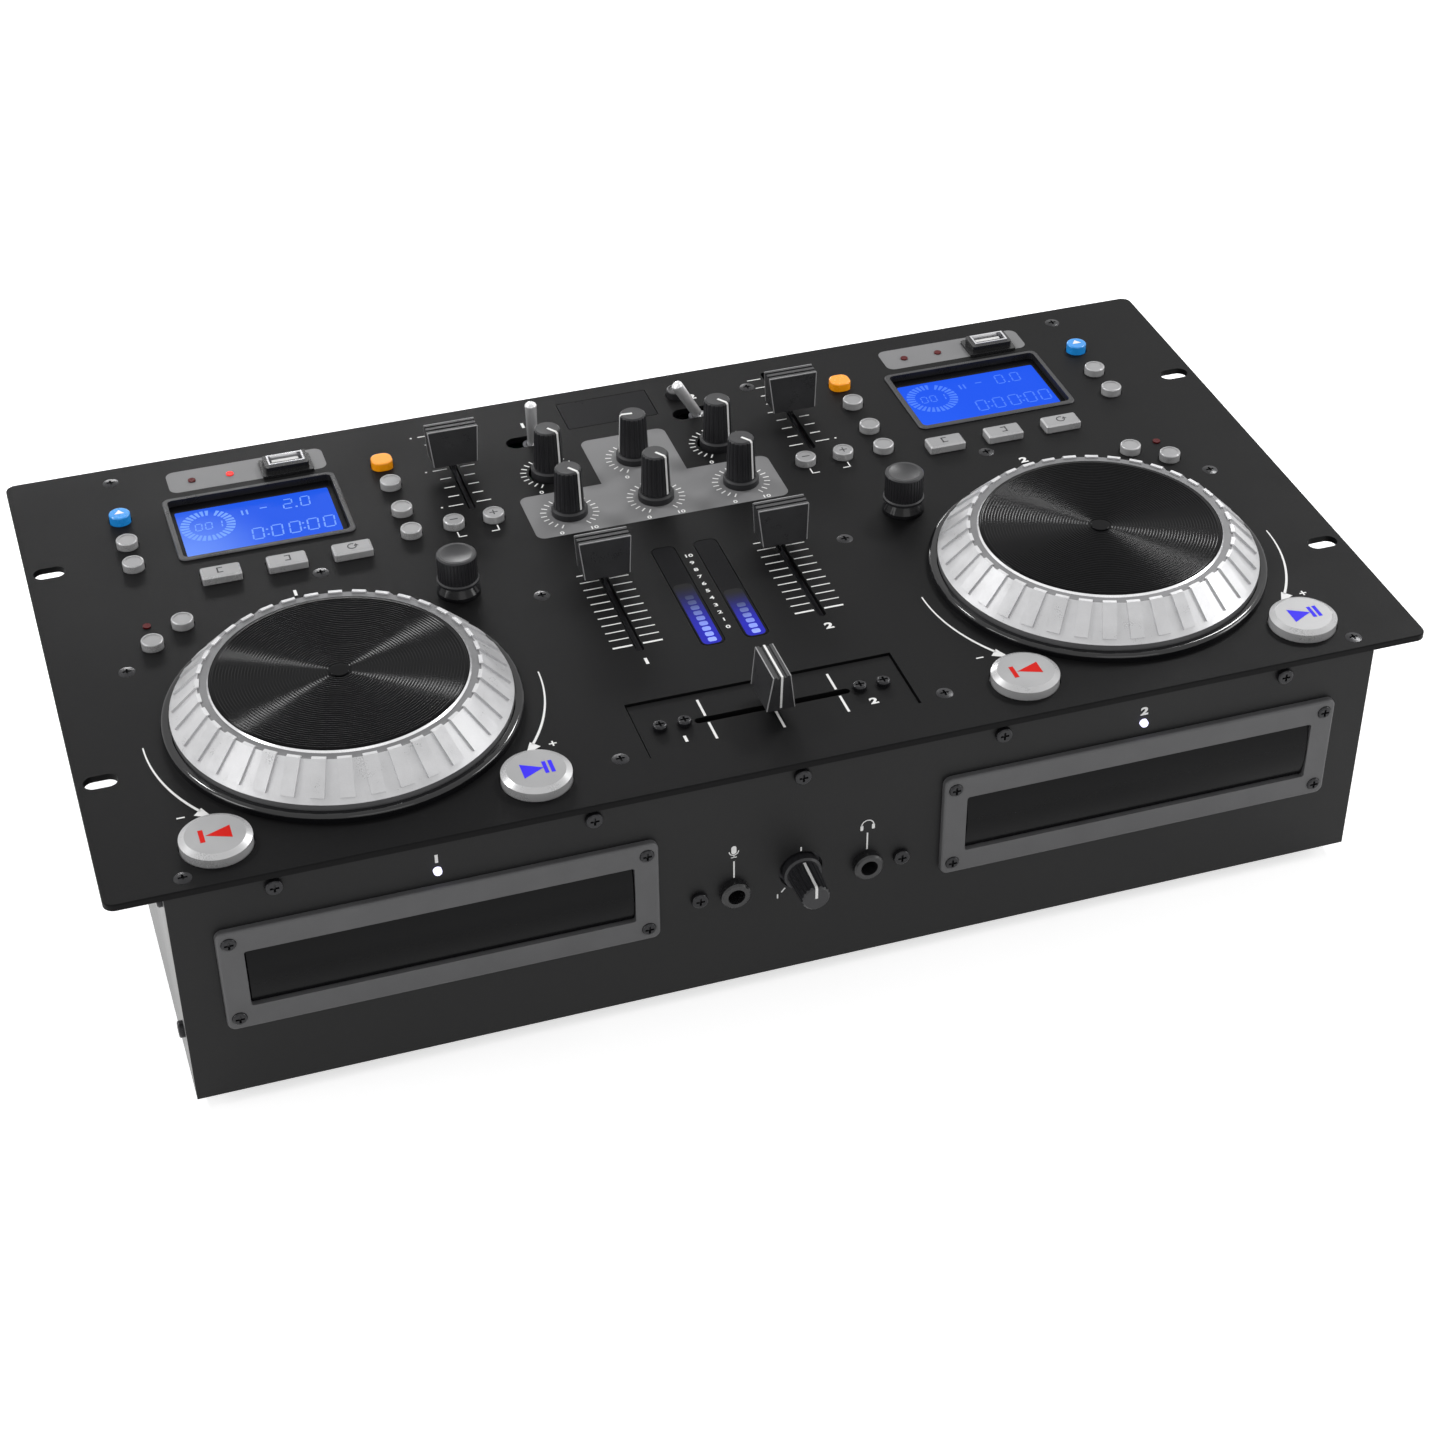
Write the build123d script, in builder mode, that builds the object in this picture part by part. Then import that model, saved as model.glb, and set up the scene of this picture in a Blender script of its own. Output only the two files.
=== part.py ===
from build123d import *
import os
from math import atan2, cos, degrees, hypot, radians, sin

# Twin-deck disc player with a built-in two-channel mixer, made to rest on a desk or to be
# bolted in a 19-inch rack. Millimetres. X to the right, Y to the back, Z up.
# Origin: centre of the faceplate's outline, on the surface that the feet stand on.

# ---------------------------------------------------------------- driving sizes: case
rack_unit = 44.45
rack_units = 6
rack_relief = 0.8
rack_width = 482.6
rack_slot_inset = 8.75
rack_slot_spacing_x = rack_width - 2 * rack_slot_inset
rack_slot_spacing_y = 3 * rack_unit
rack_slot_length = 12.0
rack_slot_width = 7.2
panel_thickness = 2.5
panel_corner = 4.0
panel_edge_round = 0.5

foot_height = 6.0
foot_radius = 9.0
foot_inset = 42.0
sheet = 1.5
rack_ear = 19.4
case_width = rack_width - 2 * rack_ear
case_depth = 258.8
case_height = 94.3
return_depth = 14.0
return_gap = 2.0
front_tab_width = 6.6
front_tab_depth = 5.0

panel_depth = rack_units * rack_unit - rack_relief
panel_under = foot_height + case_height
panel_top = panel_under + panel_thickness
front_face = -case_depth / 2
front_inner = front_face + sheet
rear_face = case_depth / 2
rear_inner = rear_face - sheet
side_inner = case_width / 2 - sheet
floor_top = foot_height + sheet

# clearances
fit = 0.1            # rigid piece in its seat
key_gap = 0.4        # key cap in its hole, all round
spindle_gap = 0.05   # turning spindle in its bush, radial
swing_gap = 0.35     # curved faces that turn past each other
line_gap = 0.3       # inset window in the faceplate, the dark line round it
press_gap = 0.1      # key stem above its switch, beyond the travel

# control board under the faceplate
board_drop = 11.0
board_thickness = 1.6
board_margin_x = 4.4
board_margin_y = 3.0
board_top = panel_under - board_drop
post_radius = 3.0

# ---------------------------------------------------------------- driving sizes: layout
mixer_column_x = 35.05
upper_knob_y = 75.1
lower_knob_y = 44.7
deck_x = 150.4
display_y = 80.2
jog_x = 144.9
jog_y = -52.6
edge_key_x = 201.7
edge_key_rows = {"a": (94.1, 76.0, 60.3), "b": (97.7, 78.6, 61.6)}
jog_key_spot = (190.3, 17.2)
scratch_key_spot = (202.9, 7.2)
mode_lamp_spot = (203.1, 20.0)
inner_key_x = 96.8
pitch_key_y = 101.4
inner_key_rows = (85.5, 65.7, 49.5)
bend_key_xs = (64.0, 79.8)
bend_key_y = 50.2
loop_key_xs = (121.05, 146.15, 171.25)
loop_key_y = 43.65
outer_big_key_x = 200.7
inner_big_key_x = 90.4
big_key_y = -112.4
search_knob_x = 88.7
search_knob_y = 6.0
pitch_fader_x = 70.2
pitch_fader_y = 90.5
pitch_fader_rest = {"a": 0.0, "b": -3.3}
channel_fader_y = -23.25
channel_fader_rest = 19.55
source_lever_y = 100.6
source_lever_tilt = {"a": 0.0, "b": -30.0}
sync_key_spot = (30.4, 116.0)
faceplate_screws = ((214.3, -126.4), (214.3, -6.0), (201.3, 122.3), (135.2, 34.4),
                    (60.1, 112.8), (60.1, -6.6), (60.1, -110.9))

# keys
small_key_radius = 4.1
small_key_height = 3.0
small_key_travel = 0.6
key_dish_inset = 1.0
key_dish_depth = 0.25
key_edge_round = 0.6
eject_key_height = 3.5
pitch_key_size = 8.4
pitch_key_corner = 3.3
pitch_key_height = 3.2
loop_key_length = 15.0
loop_key_width = 7.9
loop_key_corner = 0.8
loop_key_height = 3.0
big_key_radius = 12.4
big_key_height = 4.3
big_key_bevel_width = 2.1
big_key_bevel_drop = 1.2
big_key_travel = 0.8
key_flange = 1.2
key_flange_lip = 0.9
key_stem_radius = 1.6
switch_size = 6.0
switch_body_height = 3.5
switch_plunger_height = 0.8
switch_plunger_radius = 1.7

# rotary knobs
knob_height = 20.5
knob_skirt_radius = 7.1
knob_skirt_height = 3.2
knob_base_radius = 5.9
knob_tip_radius = 5.2
knob_hole_radius = 8.2
knob_sink = 1.6
knob_round = 0.7
knob_flutes = 18
knob_flute_radius = 0.7
knob_flute_depth = 0.3
spindle_radius = 3.0
pot_size = 12.0
pot_height = 7.0
pot_bush_radius = 4.6
search_knob_height = 17.0
search_cap_radius = 7.5
search_collar_radius = 8.3
search_neck_radius = 6.4
search_neck_height = 4.2
search_lip = 0.5
search_knurls = 36
search_knurl_radius = 0.4
search_dish_depth = 0.9

# faders
fader_cap_top_length = 20.0
fader_cap_foot_length = 17.4
fader_cap_top_width = 6.3
fader_cap_foot_width = 10.3
fader_cap_height = 15.1
fader_cap_lift = 4.5
fader_groove_width = 1.1
fader_groove_depth = 0.6
fader_lever_thickness = 1.2
fader_lever_width = 4.0
fader_slot_width = 3.0
fader_slot_overrun = 4.5
slide_pot_width = 9.5
slide_pot_height = 7.5
slide_pot_end = 6.0
slide_pot_floor = 2.5
slide_pot_groove_gap = 0.4
channel_fader_travel = 48.9
pitch_fader_travel = 53.8
cross_fader_travel = 49.0
cross_plate_length = 99.3
cross_plate_width = 30.9
cross_plate_y = -97.65
cross_plate_recess = 0.8
cross_plate_gap = 0.6
cross_plate_lip = 4.0
cross_plate_lip_thickness = 1.2
cross_plate_screw_xs = (32.8, 41.8)

# source levers
source_slot_length = 21.8
source_slot_width = 8.1
source_lever_length = 19.0
source_lever_foot_radius = 2.1
source_lever_tip_radius = 2.4
source_lever_tip_round = 1.5
source_pivot_depth = 1.6
source_ball_radius = 2.3
source_pin_radius = 0.9
source_pin_length = 7.0
source_bush_radius = 4.0
source_switch_length = 13.0
source_switch_width = 9.0
source_switch_height = 4.0

# jog wheels
jog_rim_radius = 60.5
jog_rim_bottom = 2.0
jog_rim_band_top = 5.2
jog_shoulder_radius = 49.5
jog_shoulder_height = 16.3
jog_bead_width = 0.6
jog_plate_top = 17.0
jog_plate_inset = 4.0
jog_plate_radius = jog_shoulder_radius - jog_plate_inset
jog_plate_thickness = 2.4
jog_wall = 2.0
jog_cap_radius = 3.6
jog_cap_height = 0.5
jog_rib_count = 36
jog_rib_width = 5.0
jog_rib_rise = 0.8
jog_rib_overhang = 0.8
jog_rib_margin = 1.6
jog_rib_inner_radius = jog_shoulder_radius - jog_rib_overhang
jog_rib_outer_radius = jog_rim_radius - jog_rib_margin
jog_ring_gap = 0.6
jog_ring_width = 2.9
jog_ring_bore = jog_rim_radius + jog_ring_gap
jog_ring_radius = jog_ring_bore + jog_ring_width
jog_ring_height = 3.2
jog_pan_thickness = 1.0
jog_hub_radius = 9.0
jog_hub_depth = 8.0
jog_shaft_radius = 4.0

# displays, windows and lamps
display_length = 68.4
display_width = 44.8
display_corner = 3.0
display_rim_height = 0.8
display_rim_width = 1.9
display_sleeve_wall = 0.9
display_sink = 2.0
display_module_height = 5.0
meter_window_length = 66.1
meter_window_width = 8.9
meter_window_corner = 2.6
meter_window_y = -23.35
meter_window_x = 8.4
blank_window_length = 37.6
blank_window_width = 20.0
blank_window_y = 114.1
blank_window_corner = 0.6
lamp_radius = 1.5
strip_lamp_xs = (-20.2, -5.1)
strip_lamp_y = 114.0

# sockets on top and in front
usb_offset_x = 17.2
usb_y = 112.5
usb_flange_length = 20.4
usb_flange_width = 13.0
usb_flange_height = 1.0
usb_boss_length = 17.4
usb_boss_width = 9.6
usb_boss_height = 3.6
usb_shell_length = 14.4
usb_shell_width = 7.0
usb_shell_wall = 0.7
usb_shell_top = 4.3
usb_shell_depth = 12.0
usb_tongue_length = 10.6
usb_tongue_thickness = 1.8
jack_x = 25.1
jack_z = 47.8
jack_bore_radius = 3.2
jack_nut_radius = 5.5
jack_nut_proud = 3.2
jack_body_size = 14.0
jack_body_length = 26.0
cue_knob_z = 51.5
cue_knob_length = 17.0
front_pot_mount = 4.0
front_mount_size = 24.0

# disc drives
drive_x = 130.5
drive_z = 58.2
bezel_rim_x = 8.9
bezel_rim_z = 9.5
bezel_proud = 2.5
bezel_corner = 3.0
bezel_edge_round = 1.0
mouth_length = 136.7
mouth_height = 24.6
mouth_corner = 1.0
bezel_length = mouth_length + 2 * bezel_rim_x
bezel_height = mouth_height + 2 * bezel_rim_z
bezel_screw_inset_x = 4.3
bezel_screw_inset_z = 5.0
bezel_screw_spacing_x = bezel_length - 2 * bezel_screw_inset_x
bezel_screw_spacing_z = bezel_height - 2 * bezel_screw_inset_z
door_gap = 0.6
door_thickness = 3.2
door_bulge = 1.3
door_sink = 1.6
tray_mouth_gap = 3.35
tray_width = mouth_length - 2 * tray_mouth_gap
tray_hold = 27.0
tray_thickness = 4.0
tray_drop = 6.0
tray_travel = 125.0
tray_length = tray_travel + tray_hold
disc_radius = 60.0
disc_room = 0.6
disc_well_depth = 1.5
small_disc_radius = 40.0
small_well_depth = 0.8
well_center_back = 66.0
tray_window_radius = 18.0
tray_window_width = 34.0
loader_length = 172.0
loader_wall = 2.0
loader_side_gap = 4.0
loader_width = tray_width + 2 * (loader_side_gap + loader_wall)
loader_height = 40.0
rail_width = 4.5
rail_thickness = 2.0
rail_gap = 0.3
loader_leg_width = 12.0
turntable_radius = 14.0
turntable_thickness = 2.0
turntable_hub_radius = 7.3
turntable_hub_height = 1.4
turntable_drop = 1.2
motor_radius = 11.0
motor_height = 7.0
motor_shaft_radius = 1.0
pickup_length = 42.0
pickup_width = 30.0
pickup_height = 9.0
pickup_back = 44.0
front_lamp_x = 130.6
front_lamp_z = 86.1
front_lamp_proud = 1.8
front_lamp_depth = 8.0

# rear sockets and power
rca_spacing_x = 22.0
rca_spacing_z = 20.0
rca_columns = (-150.0, -128.0, -106.0)
rca_low_z = 44.0
rca_barrel_radius = 4.15
rca_barrel_length = 9.5
rca_bore_radius = 1.7
rca_bore_depth = 8.0
rca_block_margin = 8.0
rca_block_depth = 4.5
inlet_x = 178.0
inlet_z = 42.0
inlet_length = 31.0
inlet_height = 24.0
inlet_flange = 2.0
inlet_cavity_length = 24.4
inlet_cavity_height = 17.2
inlet_cavity_depth = 15.0
inlet_wall = 1.5
inlet_pin_length = 13.0
inlet_pin_width = 2.0
inlet_pin_height = 4.0
inlet_pin_spread = 7.0
rocker_x = 140.0
rocker_length = 21.0
rocker_width = 13.0
rocker_gap = 0.5
rocker_angle = 10.0
rocker_outer_angle = 25.0
rocker_inner_angle = 15.0
rocker_notch = 1.4
rocker_pivot_depth = 2.5
rocker_frame_wall = 2.2
rocker_frame_proud = 2.0
rocker_frame_depth = 13.0
rocker_pin_radius = 1.2
rocker_pin_length = 1.5
vent_count = 14
vent_pitch = 6.0
vent_width = 2.4
vent_length = 26.0
vent_x = 20.0
vent_z = 72.0

# fasteners
csk_head_radius = 3.1
csk_head_depth = 1.7
csk_dome = 0.35
shank_radius = 1.5
shank_length = 6.0
pan_head_radius = 3.1
pan_head_height = 2.0
pan_head_round = 0.8
pan_shank_length = 4.5
small_head_radius = 2.6
cross_length = 3.2
cross_width = 0.8
cross_depth = 1.0
front_screw_xs = (-185.7, -75.4, 0.0, 75.4, 185.7)
front_screw_z = 94.5
jack_screw_x = 38.2
jack_screw_z = 48.0
side_screw_zs = (31.0, 90.6)
side_screw_inset = 8.5

# power supply
supply_x = 100.0
supply_y = 96.0
supply_length = 150.0
supply_width = 52.0
supply_post_height = 6.0
transformer_length = 52.0
transformer_width = 42.0
transformer_height = 38.0
transformer_lamination = 14.0
capacitor_radius = 9.0
capacitor_height = 24.0

os.makedirs("parts", exist_ok=True)

sides = {"a": -1, "b": 1}
both = (-1, 1)


def save(piece, name):
    """Label a finished piece and write it under its own name."""
    piece.part.label = name
    export_step(piece.part, f"parts/{name}.step")


def mirror_spots(spots):
    """The listed places and their mirror images about the middle of the console."""
    return [(side * x, y) for x, y in spots for side in both]


def front_plane(y):
    """A sketch plane facing the front, whose X is the console's X and whose Y is up."""
    return Plane(origin=(0, y, 0), x_dir=(1, 0, 0), z_dir=(0, -1, 0))


def rear_plane(y):
    """A sketch plane facing the rear; its X runs to the console's left, its Y is up."""
    return Plane(origin=(0, y, 0), x_dir=(-1, 0, 0), z_dir=(0, 1, 0))


# places worked out from the layout

knob_spots = {
    "mic_knob": (-mixer_column_x, upper_knob_y),
    "master_knob": (0.0, upper_knob_y),
    "cue_level_knob": (mixer_column_x, upper_knob_y),
    "low_knob": (-mixer_column_x, lower_knob_y),
    "mid_knob": (0.0, lower_knob_y),
    "high_knob": (mixer_column_x, lower_knob_y),
}
display_centers = {deck: sides[deck] * deck_x for deck in sides}
usb_centers = [(display_centers[deck] + usb_offset_x, usb_y) for deck in sides]
strip_lamps = [(display_centers[deck] + x, strip_lamp_y) for deck in sides for x in strip_lamp_xs]
mode_lamps = mirror_spots([mode_lamp_spot])
eject_spots = {d: (sides[d] * edge_key_x, edge_key_rows[d][0]) for d in sides}
mode_spots = {
    d: [(sides[d] * edge_key_x, edge_key_rows[d][1]), (sides[d] * edge_key_x, edge_key_rows[d][2]),
        (sides[d] * jog_key_spot[0], jog_key_spot[1]),
        (sides[d] * scratch_key_spot[0], scratch_key_spot[1])]
    for d in sides
}
time_spots = {d: [(sides[d] * inner_key_x, y) for y in inner_key_rows] for d in sides}
pitch_spots = {d: (sides[d] * inner_key_x, pitch_key_y) for d in sides}
bend_spots = {d: [(sides[d] * x, bend_key_y) for x in bend_key_xs] for d in sides}
loop_spots = {d: [(sides[d] * x, loop_key_y) for x in loop_key_xs] for d in sides}
cue_spots = {"a": (-outer_big_key_x, big_key_y), "b": (inner_big_key_x, big_key_y)}
play_spots = {"a": (-inner_big_key_x, big_key_y), "b": (outer_big_key_x, big_key_y)}
small_round_spots = [*eject_spots.values(), sync_key_spot]
for d in sides:
    small_round_spots += mode_spots[d] + time_spots[d] + bend_spots[d]
big_spots = [*cue_spots.values(), *play_spots.values()]
loop_list = loop_spots["a"] + loop_spots["b"]
jog_spots = mirror_spots([(jog_x, jog_y)])
search_spots = mirror_spots([(search_knob_x, search_knob_y)])
source_spots = mirror_spots([(mixer_column_x, source_lever_y)])
channel_slots = mirror_spots([(mixer_column_x, channel_fader_y)])
pitch_slots = mirror_spots([(pitch_fader_x, pitch_fader_y)])
screw_spots = mirror_spots(faceplate_screws)
post_spots = mirror_spots(faceplate_screws[1:])
cross_screw_spots = [(side * x, cross_plate_y) for x in cross_plate_screw_xs for side in both]

channel_slot_length = channel_fader_travel + 2 * fader_slot_overrun
pitch_slot_length = pitch_fader_travel + 2 * fader_slot_overrun
cross_slot_length = cross_fader_travel + 2 * fader_slot_overrun

# ---------------------------------------------------------------- faceplate
with BuildPart() as top_panel:
    with BuildSketch(Plane.XY.offset(panel_under)):
        RectangleRounded(rack_width, panel_depth, panel_corner)
    extrude(amount=panel_thickness)
    plate_face = top_panel.faces().sort_by(Axis.Z)[-1]
    fillet(plate_face.outer_wire().edges(), panel_edge_round)
    with BuildSketch(Plane.XY.offset(panel_under)):
        with GridLocations(rack_slot_spacing_x, rack_slot_spacing_y, 2, 2):
            SlotOverall(rack_slot_length, rack_slot_width)
        with Locations(*[(x, display_y) for x in display_centers.values()]):
            RectangleRounded(display_length - 2 * display_rim_width + 2 * display_sleeve_wall,
                             display_width - 2 * display_rim_width + 2 * display_sleeve_wall,
                             display_corner)
        with Locations(*usb_centers):
            Rectangle(usb_shell_length + 2 * fit, usb_shell_width + 2 * fit)
        with Locations(*strip_lamps, *mode_lamps):
            Circle(lamp_radius + fit)
        with Locations(*small_round_spots):
            Circle(small_key_radius + key_gap)
        with Locations(*pitch_spots.values()):
            RectangleRounded(pitch_key_size + 2 * key_gap, pitch_key_size + 2 * key_gap,
                             pitch_key_corner + key_gap)
        with Locations(*loop_list):
            RectangleRounded(loop_key_length + 2 * key_gap, loop_key_width + 2 * key_gap,
                             loop_key_corner + key_gap)
        with Locations(*big_spots):
            Circle(big_key_radius + key_gap)
        with Locations(*knob_spots.values()):
            Circle(knob_hole_radius)
        with Locations(*search_spots):
            Circle(spindle_radius + key_gap)
        with Locations(*jog_spots):
            Circle(jog_hub_radius + fit)
        with Locations(*source_spots):
            SlotOverall(source_slot_length, source_slot_width)
        with Locations(*channel_slots):
            SlotOverall(channel_slot_length, fader_slot_width, rotation=90)
        with Locations(*pitch_slots):
            SlotOverall(pitch_slot_length, fader_slot_width, rotation=90)
        with Locations((-meter_window_x, meter_window_y), (meter_window_x, meter_window_y)):
            RectangleRounded(meter_window_width + 2 * line_gap, meter_window_length + 2 * line_gap,
                             meter_window_corner + line_gap)
        with Locations((0, blank_window_y)):
            RectangleRounded(blank_window_length + 2 * line_gap, blank_window_width + 2 * line_gap,
                             blank_window_corner + line_gap)
        with Locations((0, cross_plate_y)):
            Rectangle(cross_plate_length + 2 * cross_plate_gap,
                      cross_plate_width + 2 * cross_plate_gap)
    extrude(amount=panel_thickness, mode=Mode.SUBTRACT)
    with Locations(*[(x, y, panel_top) for x, y in screw_spots]):
        CounterSinkHole(shank_radius + fit, csk_head_radius + fit, depth=panel_thickness,
                        counter_sink_angle=2 * degrees(atan2(csk_head_radius - shank_radius,
                                                             csk_head_depth)))
save(top_panel, "top_panel")

# ---------------------------------------------------------------- case
# floor and side walls, one folded sheet between the front and rear panels
side_screw_ys = (front_inner + side_screw_inset, rear_inner - side_screw_inset)
with BuildPart() as base_pan:
    with BuildSketch(Plane.XY.offset(foot_height)):
        Rectangle(case_width, 2 * rear_inner)
    extrude(amount=sheet)
    with BuildSketch(Plane.XY.offset(foot_height)):
        with Locations((-case_width / 2 + sheet / 2, 0), (case_width / 2 - sheet / 2, 0)):
            Rectangle(sheet, 2 * rear_inner)
    extrude(amount=case_height)
    with BuildSketch(Plane.YZ.offset(-case_width / 2)):
        with Locations(*[(y, z) for y in side_screw_ys for z in side_screw_zs]):
            Circle(shank_radius + fit)
    extrude(amount=case_width, mode=Mode.SUBTRACT)
save(base_pan, "base_pan")

# front panel with side returns behind the walls and two tabs for the corner screws
mouth_hole_length = mouth_length + 2 * line_gap
mouth_hole_height = mouth_height + 2 * line_gap
with BuildPart() as front_panel:
    with BuildSketch(front_plane(front_inner)):
        with Locations((0, foot_height + case_height / 2)):
            Rectangle(case_width, case_height)
    extrude(amount=sheet)
    with BuildSketch(Plane.XY.offset(floor_top + return_gap)):
        with Locations(*[(side * (side_inner - sheet / 2), front_inner + return_depth / 2)
                         for side in both]):
            Rectangle(sheet, return_depth)
    extrude(amount=case_height - 2 * return_gap - sheet)
    with BuildSketch(Plane.XY.offset(panel_under - sheet)):
        with Locations(*[(side * faceplate_screws[0][0], front_inner + front_tab_depth / 2)
                         for side in both]):
            Rectangle(front_tab_width, front_tab_depth)
    extrude(amount=sheet)
    with BuildSketch(Plane.XY.offset(panel_under - sheet)):
        with Locations(*mirror_spots(faceplate_screws[:1])):
            Circle(shank_radius + fit)
    extrude(amount=sheet, mode=Mode.SUBTRACT)
    with BuildSketch(front_plane(front_inner)):
        with Locations(*[(side * drive_x, drive_z) for side in both]):
            Rectangle(mouth_hole_length, mouth_hole_height)
        with Locations(*[(side * jack_x, jack_z) for side in both]):
            Circle(jack_nut_radius - 1 + fit)
        with Locations((0, cue_knob_z)):
            Circle(knob_hole_radius)
        with Locations(*[(side * front_lamp_x, front_lamp_z) for side in both]):
            Circle(lamp_radius + fit)
        with Locations(*[(x, front_screw_z) for x in front_screw_xs],
                       *[(side * jack_screw_x, jack_screw_z) for side in both]):
            Circle(shank_radius + fit)
        with Locations(*[(side * drive_x, drive_z) for side in both]):
            with GridLocations(bezel_screw_spacing_x, bezel_screw_spacing_z, 2, 2):
                Circle(shank_radius + fit)
    extrude(amount=sheet, mode=Mode.SUBTRACT)
    with BuildSketch(Plane.YZ.offset(-case_width / 2)):
        with Locations(*[(side_screw_ys[0], z) for z in side_screw_zs]):
            Circle(shank_radius + fit)
    extrude(amount=case_width, mode=Mode.SUBTRACT)
save(front_panel, "front_panel")

# rear panel with side returns, openings for the sockets, the rocker and a row of vents
rca_block_length = (len(rca_columns) - 1) * rca_spacing_x + 2 * rca_block_margin
rca_block_height = rca_spacing_z + 2 * rca_block_margin
rca_center_x = sum(rca_columns) / len(rca_columns)
rca_center_z = rca_low_z + rca_spacing_z / 2
rca_spots = [(x, z) for x in rca_columns for z in (rca_low_z, rca_low_z + rca_spacing_z)]
rocker_hole_length = rocker_length + 2 * (rocker_gap + rocker_frame_wall)
rocker_hole_width = rocker_width + 2 * (rocker_gap + rocker_frame_wall)
inlet_body_length = inlet_cavity_length + 2 * inlet_wall
inlet_body_height = inlet_cavity_height + 2 * inlet_wall
with BuildPart() as rear_panel:
    with BuildSketch(front_plane(rear_face)):
        with Locations((0, foot_height + case_height / 2)):
            Rectangle(case_width, case_height)
    extrude(amount=sheet)
    with BuildSketch(Plane.XY.offset(floor_top + return_gap)):
        with Locations(*[(side * (side_inner - sheet / 2), rear_inner - return_depth / 2)
                         for side in both]):
            Rectangle(sheet, return_depth)
    extrude(amount=case_height - 2 * return_gap - sheet)
    with BuildSketch(front_plane(rear_face)):
        with Locations(*rca_spots):
            Circle(rca_barrel_radius + fit)
        with Locations((inlet_x, inlet_z)):
            Rectangle(inlet_body_length + 2 * fit, inlet_body_height + 2 * fit)
        with Locations((rocker_x, inlet_z)):
            Rectangle(rocker_hole_width + 2 * fit, rocker_hole_length + 2 * fit)
        with Locations((vent_x, vent_z)):
            with GridLocations(vent_pitch, 0, vent_count, 1):
                SlotOverall(vent_length, vent_width, rotation=90)
    extrude(amount=sheet, mode=Mode.SUBTRACT)
    with BuildSketch(Plane.YZ.offset(-case_width / 2)):
        with Locations(*[(side_screw_ys[1], z) for z in side_screw_zs]):
            Circle(shank_radius + fit)
    extrude(amount=case_width, mode=Mode.SUBTRACT)
save(rear_panel, "rear_panel")

with BuildPart() as feet:
    with BuildSketch():
        with GridLocations(case_width - 2 * foot_inset, case_depth - 2 * foot_inset, 2, 2):
            Circle(foot_radius)
    extrude(amount=foot_height)
    chamfer(feet.edges().group_by(Axis.Z)[0], foot_height / 6)
save(feet, "feet")

# ---------------------------------------------------------------- fasteners
with BuildPart() as csk_screw:
    with BuildSketch(Plane.XZ):
        with BuildLine():
            dome_start = (0, csk_dome)
            dome_end = (csk_head_radius, 0)
            dome_middle = (csk_head_radius / 2, csk_dome * 3 / 4)
            ThreePointArc(dome_start, dome_middle, dome_end)
            Polyline(dome_end, (shank_radius, -csk_head_depth),
                     (shank_radius, -shank_length), (0, -shank_length), dome_start)
        make_face()
    revolve(axis=Axis.Z)
    with BuildSketch(Plane.XY.offset(csk_dome)):
        Rectangle(cross_length, cross_width)
        Rectangle(cross_width, cross_length)
    extrude(amount=-cross_depth, mode=Mode.SUBTRACT)

with BuildPart() as pan_screw:
    with BuildSketch():
        Circle(pan_head_radius)
    extrude(amount=pan_head_height)
    fillet(pan_screw.edges().group_by(Axis.Z)[-1], pan_head_round)
    with BuildSketch():
        Circle(shank_radius)
    extrude(amount=-pan_shank_length)
    with BuildSketch(Plane.XY.offset(pan_head_height)):
        Rectangle(cross_length, cross_width)
        Rectangle(cross_width, cross_length)
    extrude(amount=-cross_depth, mode=Mode.SUBTRACT)

with BuildPart() as small_screw:
    with BuildSketch():
        Circle(small_head_radius)
    extrude(amount=pan_head_height)
    fillet(small_screw.edges().group_by(Axis.Z)[-1], pan_head_round)
    with BuildSketch():
        Circle(shank_radius)
    extrude(amount=-pan_shank_length)
    with BuildSketch(Plane.XY.offset(pan_head_height)):
        Rectangle(cross_length, cross_width)
        Rectangle(cross_width, cross_length)
    extrude(amount=-cross_depth, mode=Mode.SUBTRACT)

faces_front = (90, 0, 0)
faces_left = (0, -90, 0)
faces_right = (0, 90, 0)
bezel_recess = bezel_proud / 2
cross_plate_top = panel_top - cross_plate_recess
with BuildPart() as case_screws:
    with Locations(*[(x, y, panel_top) for x, y in screw_spots]):
        add(csk_screw.part)
    with Locations(*[Location((x, front_face, front_screw_z), faces_front)
                     for x in front_screw_xs],
                   *[Location((side * jack_screw_x, front_face, jack_screw_z), faces_front)
                     for side in both]):
        add(pan_screw.part)
    with Locations(*[Location((-case_width / 2, y, z), faces_left)
                     for y in side_screw_ys for z in side_screw_zs],
                   *[Location((case_width / 2, y, z), faces_right)
                     for y in side_screw_ys for z in side_screw_zs]):
        add(pan_screw.part)
    with Locations(*[Location((side * drive_x + i * bezel_screw_spacing_x / 2,
                               front_face - bezel_recess,
                               drive_z + j * bezel_screw_spacing_z / 2), faces_front)
                     for side in both for i in both for j in both]):
        add(small_screw.part)
    with Locations(*[(x, y, cross_plate_top) for x, y in cross_screw_spots]):
        add(small_screw.part)
save(case_screws, "case_screws")

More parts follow.
